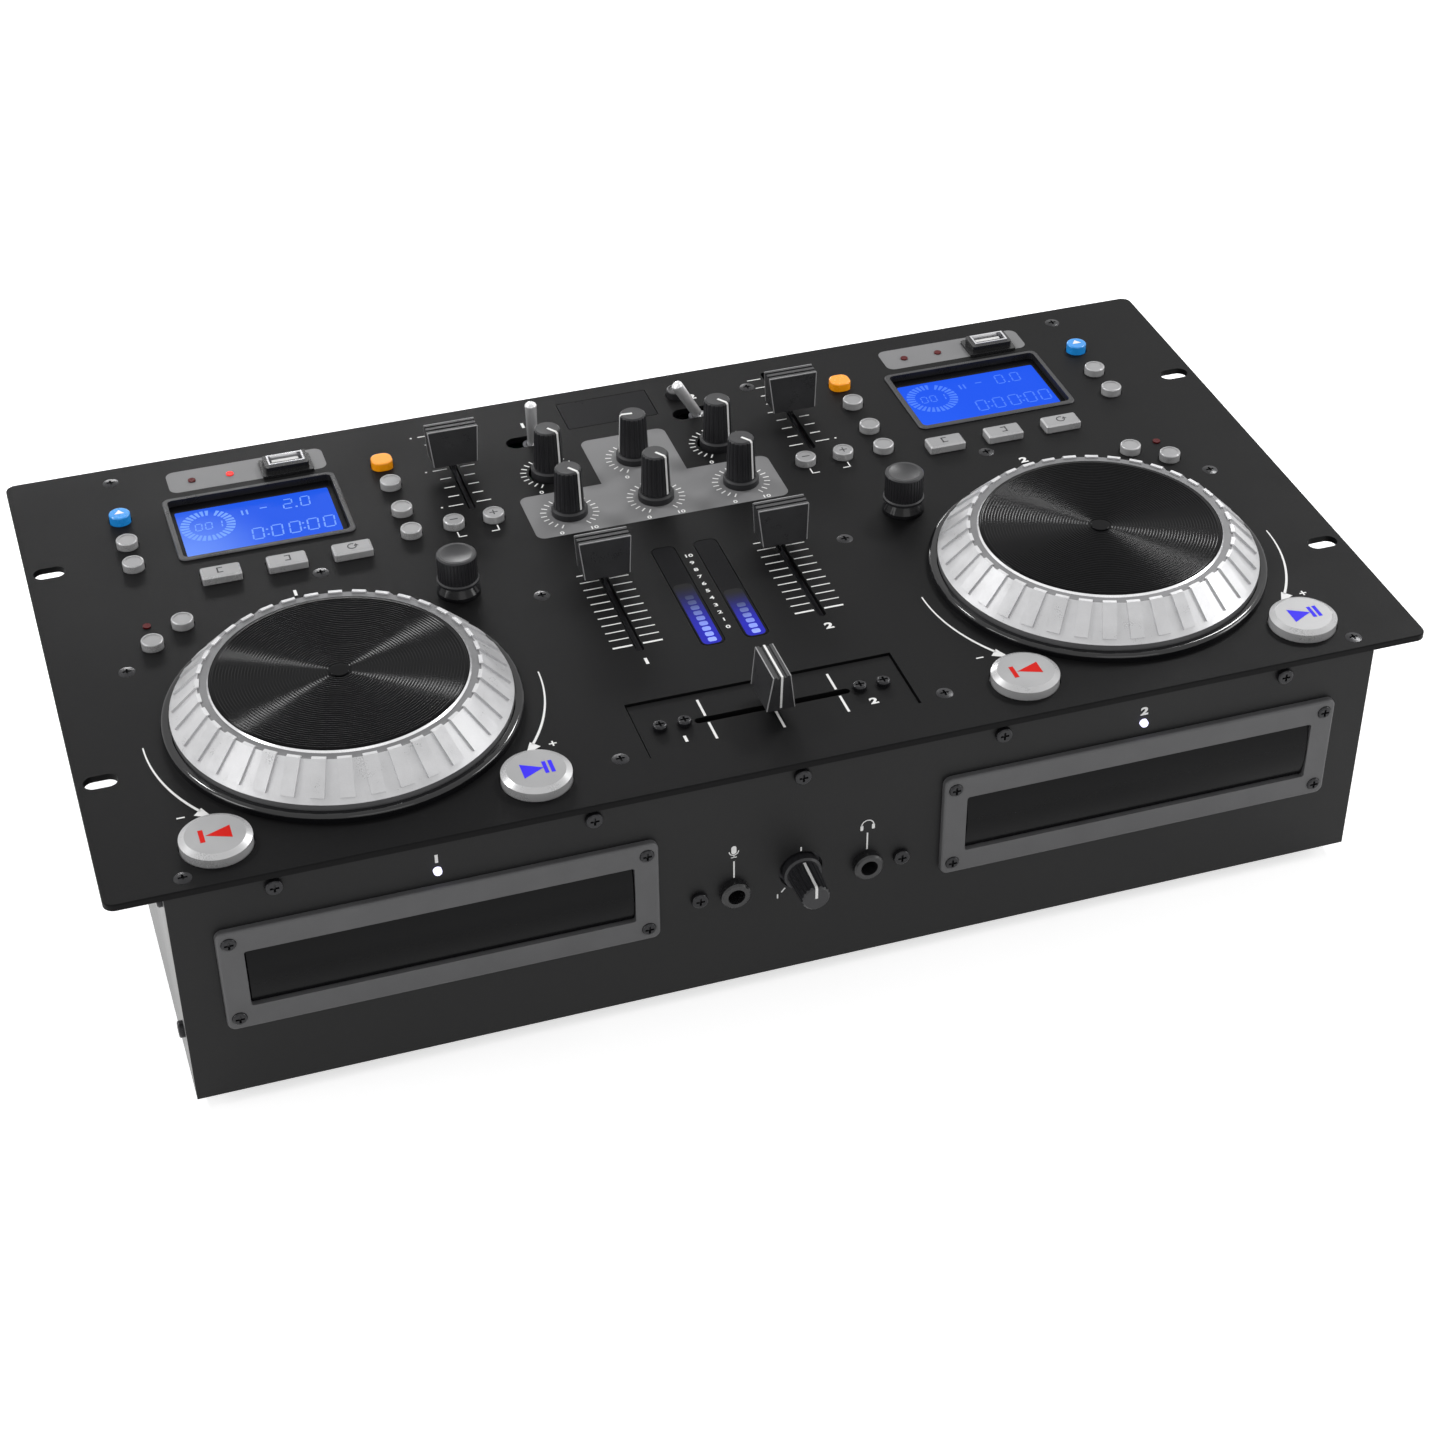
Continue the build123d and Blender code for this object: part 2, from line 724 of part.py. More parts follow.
# ---------------------------------------------------------------- disc drives
# bezels screwed on the front panel, each with a wide mouth for the tray
with BuildPart() as drive_bezels:
    with BuildSketch(front_plane(front_face)):
        with Locations(*[(side * drive_x, drive_z) for side in both]):
            RectangleRounded(bezel_length, bezel_height, bezel_corner)
    extrude(amount=bezel_proud)
    fillet(drive_bezels.edges().group_by(Axis.Y)[0], bezel_edge_round)
    with BuildSketch(front_plane(front_face)):
        with Locations(*[(side * drive_x, drive_z) for side in both]):
            RectangleRounded(mouth_length, mouth_height, mouth_corner)
            with GridLocations(bezel_screw_spacing_x, bezel_screw_spacing_z, 2, 2):
                Circle(shank_radius + fit)
    extrude(amount=bezel_proud, mode=Mode.SUBTRACT)
    with BuildSketch(front_plane(front_face - bezel_recess)):
        with Locations(*[(side * drive_x, drive_z) for side in both]):
            with GridLocations(bezel_screw_spacing_x, bezel_screw_spacing_z, 2, 2):
                Circle(small_head_radius + fit)
    extrude(amount=bezel_proud, mode=Mode.SUBTRACT)
save(drive_bezels, "drive_bezels")

# tray: a plate with two stepped disc wells, a window for the turntable and a bulged door
door_length = mouth_length - 2 * door_gap
door_height = mouth_height - 2 * door_gap
door_front = front_face - bezel_proud + door_sink
door_back = door_front + door_thickness
tray_top = drive_z - tray_drop + tray_thickness
tray_bottom = tray_top - tray_thickness
well_y = door_back + well_center_back
for deck, side in sides.items():
    center = side * drive_x
    with BuildPart() as disc_tray:
        with BuildSketch(Plane.YZ.offset(center - door_length / 2)):
            with BuildLine():
                low = drive_z - door_height / 2
                high = drive_z + door_height / 2
                Polyline((door_front, low), (door_back, low), (door_back, high), (door_front, high))
                ThreePointArc((door_front, high), (door_front - door_bulge, drive_z),
                              (door_front, low))
            make_face()
        extrude(amount=door_length)
        with BuildSketch(Plane.XY.offset(tray_bottom)):
            with Locations((center, door_back + tray_length / 2)):
                Rectangle(tray_width, tray_length)
        extrude(amount=tray_thickness)
        with BuildSketch(Plane.XY.offset(tray_top)):
            with Locations((center, well_y)):
                Circle(disc_radius + disc_room)
        extrude(amount=-disc_well_depth, mode=Mode.SUBTRACT)
        with BuildSketch(Plane.XY.offset(tray_top)):
            with Locations((center, well_y)):
                Circle(small_disc_radius + disc_room)
        extrude(amount=-disc_well_depth - small_well_depth, mode=Mode.SUBTRACT)
        with BuildSketch(Plane.XY.offset(tray_bottom)):
            with Locations((center, well_y)):
                Circle(tray_window_radius)
            with Locations((center, well_y + tray_length / 2)):
                Rectangle(tray_window_width, tray_length)
        extrude(amount=tray_thickness, mode=Mode.SUBTRACT)
    save(disc_tray, f"disc_tray_{deck}")

# loader: an open frame on legs with rails that hold the tray's edges, a pickup and a motor
loader_front = door_back + key_gap
loader_bottom = drive_z - loader_height / 2
motor_top = tray_bottom - turntable_drop - turntable_thickness - turntable_hub_height - spindle_gap
rail_inner = tray_width / 2 - rail_width + rail_gap
with BuildPart() as disc_loaders:
    with BuildSketch(Plane.XY.offset(loader_bottom)):
        with Locations(*[(side * drive_x, loader_front + loader_length / 2) for side in both]):
            Rectangle(loader_width, loader_length)
    extrude(amount=loader_wall)
    with BuildSketch(Plane.XY.offset(loader_bottom)):
        with Locations(*[(side * drive_x, loader_front + loader_length / 2) for side in both]):
            with Locations((-(loader_width - loader_wall) / 2, 0),
                           ((loader_width - loader_wall) / 2, 0)):
                Rectangle(loader_wall, loader_length)
    extrude(amount=loader_height)
    with BuildSketch(Plane.XY.offset(loader_bottom)):
        with Locations(*[(side * drive_x, loader_front + loader_length - loader_wall / 2)
                         for side in both]):
            Rectangle(loader_width, loader_wall)
    extrude(amount=loader_height)
    # rails under and over the tray's long edges
    rail_reach = (loader_width / 2) - rail_inner
    for rail_z in (tray_bottom - fit - rail_thickness, tray_top + fit):
        with BuildSketch(Plane.XY.offset(rail_z)):
            with Locations(*[(side * drive_x, loader_front + loader_length / 2) for side in both]):
                with Locations((-(loader_width - rail_reach) / 2, 0),
                               ((loader_width - rail_reach) / 2, 0)):
                    Rectangle(rail_reach, loader_length)
        extrude(amount=rail_thickness)
    # legs down to the floor of the case
    with BuildSketch(Plane.XY.offset(floor_top)):
        with Locations(*[(side * drive_x, loader_front + loader_length / 2) for side in both]):
            with GridLocations(loader_width - loader_leg_width, loader_length - loader_leg_width,
                               2, 2):
                Rectangle(loader_leg_width, loader_leg_width)
    extrude(amount=loader_bottom - floor_top)
    # spindle motor cans on the frame's floor, bored for the turntable shaft
    with BuildSketch(Plane.XY.offset(loader_bottom + loader_wall)):
        with Locations(*[(side * drive_x, well_y) for side in both]):
            Circle(motor_radius)
    extrude(amount=motor_top - loader_bottom - loader_wall)
    with BuildSketch(Plane.XY.offset(motor_top)):
        with Locations(*[(side * drive_x, well_y) for side in both]):
            Circle(motor_shaft_radius + spindle_gap)
    extrude(amount=-motor_height, mode=Mode.SUBTRACT)
    # laser pickup carriage behind each motor
    with BuildSketch(Plane.XY.offset(loader_bottom + loader_wall)):
        with Locations(*[(side * drive_x, well_y + pickup_back) for side in both]):
            Rectangle(pickup_width, pickup_length)
    extrude(amount=pickup_height)
save(disc_loaders, "disc_loaders")

for deck, side in sides.items():
    with BuildPart() as turntable:
        with BuildSketch(Plane.XY.offset(motor_top + spindle_gap)):
            with Locations((side * drive_x, well_y)):
                Circle(turntable_radius)
        extrude(amount=turntable_thickness)
        with BuildSketch(Plane.XY.offset(motor_top + spindle_gap + turntable_thickness)):
            with Locations((side * drive_x, well_y)):
                Circle(turntable_hub_radius)
        extrude(amount=turntable_hub_height)
        chamfer(turntable.edges().group_by(Axis.Z)[-1], turntable_hub_height / 2)
        with BuildSketch(Plane.XY.offset(motor_top + spindle_gap)):
            with Locations((side * drive_x, well_y)):
                Circle(motor_shaft_radius)
        extrude(amount=-(motor_height - press_gap - spindle_gap))
    save(turntable, f"turntable_{deck}")

# ---------------------------------------------------------------- displays and windows
opening_length = display_length - 2 * display_rim_width
opening_width = display_width - 2 * display_rim_width
with BuildPart() as display_frames:
    with BuildSketch(Plane.XY.offset(panel_top)):
        with Locations(*[(x, display_y) for x in display_centers.values()]):
            RectangleRounded(display_length, display_width, display_corner)
    extrude(amount=display_rim_height)
    chamfer(display_frames.edges().group_by(Axis.Z)[-1], display_rim_height / 2)
    with BuildSketch(Plane.XY.offset(panel_under)):
        with Locations(*[(x, display_y) for x in display_centers.values()]):
            RectangleRounded(opening_length + 2 * display_sleeve_wall - 2 * fit,
                             opening_width + 2 * display_sleeve_wall - 2 * fit,
                             display_corner - fit)
    extrude(amount=panel_thickness)
    with BuildSketch(Plane.XY.offset(panel_under)):
        with Locations(*[(x, display_y) for x in display_centers.values()]):
            RectangleRounded(opening_length, opening_width, display_corner - display_sleeve_wall)
    extrude(amount=panel_thickness + display_rim_height, mode=Mode.SUBTRACT)
save(display_frames, "display_frames")

with BuildPart() as display_screens:
    with BuildSketch(Plane.XY.offset(panel_top - display_sink)):
        with Locations(*[(x, display_y) for x in display_centers.values()]):
            RectangleRounded(opening_length - 2 * fit, opening_width - 2 * fit,
                             display_corner - display_sleeve_wall - fit)
    extrude(amount=-display_module_height)
save(display_screens, "display_screens")

with BuildPart() as panel_windows:
    with BuildSketch(Plane.XY.offset(panel_under)):
        with Locations((-meter_window_x, meter_window_y), (meter_window_x, meter_window_y)):
            RectangleRounded(meter_window_width, meter_window_length, meter_window_corner)
        with Locations((0, blank_window_y)):
            RectangleRounded(blank_window_length, blank_window_width, blank_window_corner)
    extrude(amount=panel_thickness)
save(panel_windows, "panel_windows")

with BuildPart() as indicator_lamps:
    with BuildSketch(Plane.XY.offset(board_top)):
        with Locations(*strip_lamps, *mode_lamps):
            Circle(lamp_radius)
    extrude(amount=panel_top - board_top + lamp_radius / 3)
    with BuildSketch(front_plane(front_face + front_lamp_depth)):
        with Locations(*[(side * front_lamp_x, front_lamp_z) for side in both]):
            Circle(lamp_radius)
    extrude(amount=front_lamp_depth + front_lamp_proud)
    fillet(indicator_lamps.edges().group_by(Axis.Y)[0], lamp_radius * 2 / 3)
save(indicator_lamps, "indicator_lamps")

# ---------------------------------------------------------------- USB sockets
with BuildPart() as usb_sockets:
    with BuildSketch(Plane.XY.offset(panel_top)):
        with Locations(*usb_centers):
            RectangleRounded(usb_flange_length, usb_flange_width, usb_flange_height)
    extrude(amount=usb_flange_height)
    with BuildSketch(Plane.XY.offset(panel_top)):
        with Locations(*usb_centers):
            RectangleRounded(usb_boss_length, usb_boss_width, usb_flange_height)
    extrude(amount=usb_boss_height)
    with BuildSketch(Plane.XY.offset(panel_top + usb_shell_top - usb_shell_depth)):
        with Locations(*usb_centers):
            Rectangle(usb_shell_length, usb_shell_width)
    extrude(amount=usb_shell_depth)
    with BuildSketch(Plane.XY.offset(panel_top + usb_shell_top)):
        with Locations(*usb_centers):
            Rectangle(usb_shell_length - 2 * usb_shell_wall, usb_shell_width - 2 * usb_shell_wall)
    extrude(amount=-(usb_shell_depth - usb_shell_wall), mode=Mode.SUBTRACT)
    with BuildSketch(Plane.XY.offset(panel_top + usb_shell_top - usb_shell_depth)):
        with Locations(*[(x, y + usb_tongue_thickness / 2) for x, y in usb_centers]):
            Rectangle(usb_tongue_length, usb_tongue_thickness)
    extrude(amount=usb_shell_depth - 2 * usb_shell_wall)
save(usb_sockets, "usb_sockets")

# ---------------------------------------------------------------- jack sockets in front
with BuildPart() as front_jacks:
    with BuildSketch(front_plane(front_face)):
        with Locations(*[(side * jack_x, jack_z) for side in both]):
            Circle(jack_nut_radius)
    extrude(amount=jack_nut_proud)
    chamfer(front_jacks.edges().group_by(Axis.Y)[0], jack_nut_proud / 5)
    with BuildSketch(front_plane(front_face)):
        with Locations(*[(side * jack_x, jack_z) for side in both]):
            Circle(jack_nut_radius - 1)
    extrude(amount=-sheet)
    with BuildSketch(front_plane(front_inner)):
        with Locations(*[(side * jack_x, jack_z) for side in both]):
            Rectangle(jack_body_size, jack_body_size)
    extrude(amount=-jack_body_length)
    with BuildSketch(front_plane(front_face - jack_nut_proud)):
        with Locations(*[(side * jack_x, jack_z) for side in both]):
            Circle(jack_bore_radius)
    extrude(amount=-(jack_nut_proud + sheet + jack_body_length - loader_wall), mode=Mode.SUBTRACT)
save(front_jacks, "front_jacks")


# ---------------------------------------------------------------- knobs
def fluted_knob(plane, height, spindle_length, name):
    """A tall tapered knob with a skirt and flutes, standing along the plane's normal."""
    flute_lean = degrees(atan2(knob_base_radius - knob_tip_radius, height - knob_skirt_height))
    body_length = height - knob_skirt_height
    mean_radius = (knob_base_radius + knob_tip_radius) / 2
    with BuildPart() as knob:
        with BuildSketch(Plane.XZ):
            with BuildLine():
                Polyline((0, -knob_sink), (knob_skirt_radius, -knob_sink),
                         (knob_skirt_radius, knob_skirt_height - knob_round),
                         (knob_skirt_radius - knob_round, knob_skirt_height),
                         (knob_base_radius, knob_skirt_height),
                         (knob_tip_radius, height - knob_round),
                         (knob_tip_radius - knob_round, height), (0, height), (0, -knob_sink))
            make_face()
        revolve(axis=Axis.Z)
        with Locations((0, 0, knob_skirt_height + body_length / 2)):
            with PolarLocations(mean_radius + knob_flute_radius - knob_flute_depth, knob_flutes):
                Cylinder(knob_flute_radius, body_length - knob_round,
                         rotation=(0, -flute_lean, 0), mode=Mode.SUBTRACT)
        with BuildSketch(Plane.XY.offset(-knob_sink)):
            Circle(spindle_radius)
        extrude(amount=-spindle_length)
    with BuildPart() as placed:
        with Locations(plane.location):
            add(knob.part)
    save(placed, name)


top_spindle_length = panel_top - knob_sink - board_top - press_gap
for name, (x, y) in knob_spots.items():
    fluted_knob(Plane(origin=(x, y, panel_top)), knob_height, top_spindle_length, name)
front_spindle_length = sheet - knob_sink + front_pot_mount + pot_height - press_gap
fluted_knob(Plane(origin=(0, front_face, cue_knob_z), x_dir=(1, 0, 0), z_dir=(0, -1, 0)),
            cue_knob_length, front_spindle_length, "cue_mix_knob")

for deck, side in sides.items():
    with BuildPart() as search_knob:
        with BuildSketch(Plane.XZ):
            with BuildLine():
                collar_low = key_gap / 2
                cap_low = search_neck_height + 2 * search_lip
                outline = [(0, collar_low), (search_collar_radius, collar_low),
                           (search_collar_radius - search_lip / 2, 3 * search_lip),
                           (search_neck_radius, search_neck_height),
                           (search_cap_radius + search_lip, cap_low),
                           (search_cap_radius + search_lip, cap_low + 2 * search_lip),
                           (search_cap_radius, cap_low + 3 * search_lip),
                           (search_cap_radius, search_knob_height - search_lip),
                           (search_cap_radius - search_lip, search_knob_height)]
                dish_edge = (search_cap_radius - 3 * search_lip, search_knob_height)
                dish_floor = (0, search_knob_height - search_dish_depth)
                Polyline(*outline, dish_edge)
                TangentArc(dish_floor, dish_edge, tangent=(1, 0), tangent_from_first=True)
                Line(dish_floor, outline[0])
            make_face()
        revolve(axis=Axis.Z)
        knurl_length = search_knob_height - cap_low - 5 * search_lip
        with Locations((0, 0, cap_low + 3 * search_lip + knurl_length / 2)):
            with PolarLocations(search_cap_radius + search_knurl_radius / 3, search_knurls):
                Cylinder(search_knurl_radius, knurl_length, mode=Mode.SUBTRACT)
        with BuildSketch(Plane.XY.offset(collar_low)):
            Circle(spindle_radius)
        extrude(amount=-(panel_top - board_top + collar_low - press_gap))
    with BuildPart() as placed_search:
        with Locations((side * search_knob_x, search_knob_y, panel_top)):
            add(search_knob.part)
    save(placed_search, f"search_knob_{deck}")


# ---------------------------------------------------------------- faders
def fader_cap(x, y, turn, plate_top, name):
    """A slab cap that flares to its foot one way and to its top the other, on a flat lever."""
    foot_z = plate_top + fader_cap_lift
    lever_bottom = board_top + slide_pot_floor + slide_pot_groove_gap
    top_z = foot_z + fader_cap_height
    with BuildPart() as cap:
        with BuildSketch(Plane.XY.offset(foot_z)):
            Rectangle(fader_cap_foot_length, fader_cap_foot_width)
        with BuildSketch(Plane.XY.offset(top_z)):
            Rectangle(fader_cap_top_length, fader_cap_top_width)
        loft()
        groove_y = fader_cap_top_width / 6 + fader_groove_width / 4
        with BuildSketch(Plane.XY.offset(top_z)):
            with Locations((0, -groove_y), (0, groove_y)):
                Rectangle(fader_cap_top_length, fader_groove_width)
        extrude(amount=-fader_groove_depth, mode=Mode.SUBTRACT)
        with BuildSketch(Plane.XY.offset(foot_z)):
            Rectangle(fader_lever_thickness, fader_lever_width)
        extrude(amount=lever_bottom - foot_z)
    with BuildPart() as placed:
        with Locations(Location((x, y, 0), (0, 0, turn))):
            add(cap.part)
    save(placed, name)


for deck, side in sides.items():
    fader_cap(side * mixer_column_x, channel_fader_y + channel_fader_rest, 0, panel_top,
              f"channel_fader_cap_{deck}")
    fader_cap(side * pitch_fader_x, pitch_fader_y + pitch_fader_rest[deck], 0, panel_top,
              f"pitch_fader_cap_{deck}")
fader_cap(0, cross_plate_y, 90, cross_plate_top, "crossfader_cap")

# inset plate of the crossfader, with a wider lip that bears on the faceplate's underside
with BuildPart() as crossfader_plate:
    with BuildSketch(Plane.XY.offset(panel_under)):
        with Locations((0, cross_plate_y)):
            Rectangle(cross_plate_length, cross_plate_width)
    extrude(amount=panel_thickness - cross_plate_recess)
    with BuildSketch(Plane.XY.offset(panel_under)):
        with Locations((0, cross_plate_y)):
            Rectangle(cross_plate_length + 2 * cross_plate_lip, cross_plate_width)
    extrude(amount=-cross_plate_lip_thickness)
    with BuildSketch(Plane.XY.offset(panel_under - cross_plate_lip_thickness)):
        with Locations((0, cross_plate_y)):
            SlotOverall(cross_slot_length, fader_slot_width)
        with Locations(*cross_screw_spots):
            Circle(shank_radius + fit)
    extrude(amount=panel_thickness + cross_plate_lip_thickness, mode=Mode.SUBTRACT)
save(crossfader_plate, "crossfader_plate")

# ---------------------------------------------------------------- source levers
source_pivot_z = panel_top - source_pivot_depth
for deck, side in sides.items():
    lean = radians(source_lever_tilt[deck])
    lever_plane = Plane(origin=(side * mixer_column_x, source_lever_y, source_pivot_z),
                        x_dir=(cos(lean), 0, -sin(lean)), z_dir=(sin(lean), 0, cos(lean)))
    with BuildPart() as lever:
        with BuildSketch(Plane.XZ):
            with BuildLine():
                Polyline((0, 0), (source_lever_foot_radius, 0),
                         (source_lever_tip_radius, source_lever_length),
                         (0, source_lever_length), (0, 0))
            make_face()
        revolve(axis=Axis.Z)
        fillet(lever.edges().group_by(Axis.Z)[-1], source_lever_tip_round)
        Sphere(source_ball_radius)
        Cylinder(source_pin_radius, source_pin_length, rotation=(90, 0, 0))
    with BuildPart() as source_lever:
        with Locations(lever_plane.location):
            add(lever.part)
    save(source_lever, f"source_lever_{deck}")


# ---------------------------------------------------------------- keys
def key_stem_length(travel):
    """From the key's flange down to just above its switch, with room for the travel."""
    plunger_top = board_top + switch_body_height + switch_plunger_height
    return panel_under - key_flange - plunger_top - travel - press_gap


def big_key(spot, name):
    """A large round key with a wide, shallow bevel, held from below by its flange."""
    with BuildPart() as key:
        with BuildSketch(Plane.XY.offset(panel_under)):
            with Locations(spot):
                Circle(big_key_radius)
        extrude(amount=panel_thickness + big_key_height)
        top = key.faces().sort_by(Axis.Z)[-1]
        chamfer(top.edges(), big_key_bevel_width, big_key_bevel_drop, reference=top)
        with BuildSketch(Plane.XY.offset(panel_under - key_flange)):
            with Locations(spot):
                Circle(big_key_radius + key_flange_lip)
        extrude(amount=key_flange)
        with BuildSketch(Plane.XY.offset(panel_under - key_flange)):
            with Locations(spot):
                Circle(key_stem_radius)
        extrude(amount=-key_stem_length(big_key_travel))
    save(key, name)


def round_keys(spots, radius, height, travel, edge_round, dish, name):
    """Round caps through the faceplate, joined under it by one moulded carrier strip."""
    with BuildPart() as keys:
        with BuildSketch(Plane.XY.offset(panel_under)):
            with Locations(*spots):
                Circle(radius)
        extrude(amount=panel_thickness + height)
        fillet(keys.edges().group_by(Axis.Z)[-1], edge_round)
        if dish:
            with BuildSketch(Plane.XY.offset(panel_top + height)):
                with Locations(*spots):
                    Circle(radius - key_dish_inset)
            extrude(amount=-key_dish_depth, mode=Mode.SUBTRACT)
        with BuildSketch(Plane.XY.offset(panel_under - key_flange)):
            with Locations(*spots):
                Circle(radius + key_flange_lip)
            for start, end in zip(spots, spots[1:]):
                middle = ((start[0] + end[0]) / 2, (start[1] + end[1]) / 2)
                run = hypot(end[0] - start[0], end[1] - start[1])
                turn = degrees(atan2(end[1] - start[1], end[0] - start[0]))
                with Locations(middle):
                    Rectangle(run, radius, rotation=turn)
        extrude(amount=key_flange)
        with BuildSketch(Plane.XY.offset(panel_under - key_flange)):
            with Locations(*spots):
                Circle(key_stem_radius)
        extrude(amount=-key_stem_length(travel))
    save(keys, name)


for deck, side in sides.items():
    round_keys([eject_spots[deck]], small_key_radius, eject_key_height, small_key_travel,
               key_edge_round, False, f"eject_key_{deck}")
    round_keys(mode_spots[deck], small_key_radius, small_key_height, small_key_travel,
               key_edge_round, True, f"mode_keys_{deck}")
    round_keys(time_spots[deck], small_key_radius, small_key_height, small_key_travel,
               key_edge_round, True, f"time_keys_{deck}")
    round_keys(bend_spots[deck], small_key_radius, small_key_height, small_key_travel,
               key_edge_round, True, f"bend_keys_{deck}")
    big_key(cue_spots[deck], f"cue_key_{deck}")
    big_key(play_spots[deck], f"play_key_{deck}")
round_keys([sync_key_spot], small_key_radius, small_key_height, small_key_travel,
           key_edge_round, True, "sync_key")

for deck, side in sides.items():
    with BuildPart() as pitch_key:
        with BuildSketch(Plane.XY.offset(panel_under)):
            with Locations(pitch_spots[deck]):
                RectangleRounded(pitch_key_size, pitch_key_size, pitch_key_corner)
        extrude(amount=panel_thickness + pitch_key_height)
        fillet(pitch_key.edges().group_by(Axis.Z)[-1], key_edge_round)
        with BuildSketch(Plane.XY.offset(panel_under - key_flange)):
            with Locations(pitch_spots[deck]):
                Rectangle(pitch_key_size + 2 * key_flange_lip, pitch_key_size + 2 * key_flange_lip)
        extrude(amount=key_flange)
        with BuildSketch(Plane.XY.offset(panel_under - key_flange)):
            with Locations(pitch_spots[deck]):
                Circle(key_stem_radius)
        extrude(amount=-key_stem_length(small_key_travel))
    save(pitch_key, f"pitch_key_{deck}")

    loop_middle = (loop_spots[deck][0][0] + loop_spots[deck][-1][0]) / 2
    loop_run = abs(loop_spots[deck][-1][0] - loop_spots[deck][0][0])
    with BuildPart() as loop_keys:
        with BuildSketch(Plane.XY.offset(panel_under)):
            with Locations(*loop_spots[deck]):
                RectangleRounded(loop_key_length, loop_key_width, loop_key_corner)
        extrude(amount=panel_thickness + loop_key_height)
        chamfer(loop_keys.edges().group_by(Axis.Z)[-1], key_edge_round)
        with BuildSketch(Plane.XY.offset(panel_under - key_flange)):
            with Locations((loop_middle, loop_key_y)):
                Rectangle(loop_run + loop_key_length + 2 * key_flange_lip,
                          loop_key_width + 2 * key_flange_lip)
        extrude(amount=key_flange)
        with BuildSketch(Plane.XY.offset(panel_under - key_flange)):
            with Locations(*loop_spots[deck]):
                Circle(key_stem_radius)
        extrude(amount=-key_stem_length(small_key_travel))
    save(loop_keys, f"loop_keys_{deck}")

# ---------------------------------------------------------------- jog wheels
# fixed ring round each wheel, on a thin pan with a bored hub through the faceplate
with BuildPart() as jog_bases:
    with BuildSketch(Plane.XY.offset(panel_top)):
        with Locations(*jog_spots):
            Circle(jog_ring_radius)
    extrude(amount=jog_ring_height)
    fillet(jog_bases.edges().group_by(Axis.Z)[-1], (jog_ring_radius - jog_ring_bore) / 2)
    with BuildSketch(Plane.XY.offset(panel_top + jog_pan_thickness)):
        with Locations(*jog_spots):
            Circle(jog_ring_bore)
    extrude(amount=jog_ring_height, mode=Mode.SUBTRACT)
    with BuildSketch(Plane.XY.offset(panel_top)):
        with Locations(*jog_spots):
            Circle(jog_hub_radius)
    extrude(amount=-(panel_thickness + jog_hub_depth))
    with BuildSketch(Plane.XY.offset(panel_top + jog_pan_thickness)):
        with Locations(*jog_spots):
            Circle(jog_shaft_radius + spindle_gap)
    extrude(amount=-(jog_pan_thickness + panel_thickness + jog_hub_depth), mode=Mode.SUBTRACT)
save(jog_bases, "jog_bases")

# wheel: a hollow cone with raised finger ribs, a floor, a shaft and an inset plate on top
plate_bottom = jog_plate_top - jog_plate_thickness
plate_seat_radius = jog_plate_radius + fit
slope_run = jog_rim_radius - jog_shoulder_radius
slope_drop = jog_shoulder_height - jog_rim_band_top
slope_length = hypot(slope_run, slope_drop)
rise_r = jog_rib_rise * slope_drop / slope_length
rise_z = jog_rib_rise * slope_run / slope_length


def slope_height(radius):
    """Height of the cone's face at a radius."""
    return jog_shoulder_height - (radius - jog_shoulder_radius) * slope_drop / slope_run


with BuildPart() as jog_rim:
    with BuildSketch(Plane.XZ):
        with BuildLine():
            Polyline((plate_seat_radius, jog_plate_top),
                     (plate_seat_radius + jog_bead_width, jog_shoulder_height),
                     (jog_shoulder_radius, jog_shoulder_height),
                     (jog_rim_radius, jog_rim_band_top),
                     (jog_rim_radius, jog_rim_bottom),
                     (jog_rim_radius - jog_wall, jog_rim_bottom),
                     (jog_rim_radius - jog_wall, jog_rim_band_top - jog_wall),
                     (jog_shoulder_radius - jog_wall, plate_bottom - jog_wall),
                     (jog_shaft_radius, plate_bottom - jog_wall),
                     (0, plate_bottom - jog_wall),
                     (0, plate_bottom), (plate_seat_radius, plate_bottom),
                     (plate_seat_radius, jog_plate_top))
        make_face()
    revolve(axis=Axis.Z)
    for index in range(jog_rib_count):
        rib_plane = Plane.XZ.rotated((0, 0, 360 / jog_rib_count * index))
        with BuildSketch(rib_plane):
            with BuildLine():
                top_z = jog_shoulder_height + rise_z
                knee = jog_shoulder_radius + rise_r
                foot = jog_rib_outer_radius
                Polyline((jog_rib_inner_radius, jog_shoulder_height - rise_z),
                         (jog_rib_inner_radius, top_z), (knee, top_z),
                         (foot + rise_r, slope_height(foot) + rise_z),
                         (foot - rise_r, slope_height(foot) - rise_z),
                         (jog_shoulder_radius - rise_r, jog_shoulder_height - rise_z),
                         (jog_rib_inner_radius, jog_shoulder_height - rise_z))
            make_face()
        extrude(amount=jog_rib_width / 2, both=True)
    with BuildSketch(Plane.XY.offset(plate_bottom)):
        Circle(jog_shaft_radius)
    extrude(amount=-(plate_bottom + panel_thickness + jog_hub_depth - press_gap))

with BuildPart() as jog_plate:
    with BuildSketch(Plane.XY.offset(plate_bottom + fit)):
        Circle(jog_plate_radius)
    extrude(amount=jog_plate_thickness - fit)
    with BuildSketch(Plane.XY.offset(jog_plate_top)):
        Circle(jog_cap_radius)
    extrude(amount=jog_cap_height)
    fillet(jog_plate.edges().group_by(Axis.Z)[-1], jog_cap_height / 2)

for deck, side in sides.items():
    with BuildPart() as jog_wheel:
        with Locations((side * jog_x, jog_y, panel_top)):
            add(jog_rim.part)
            add(jog_plate.part)
    save(jog_wheel, f"jog_wheel_{deck}")

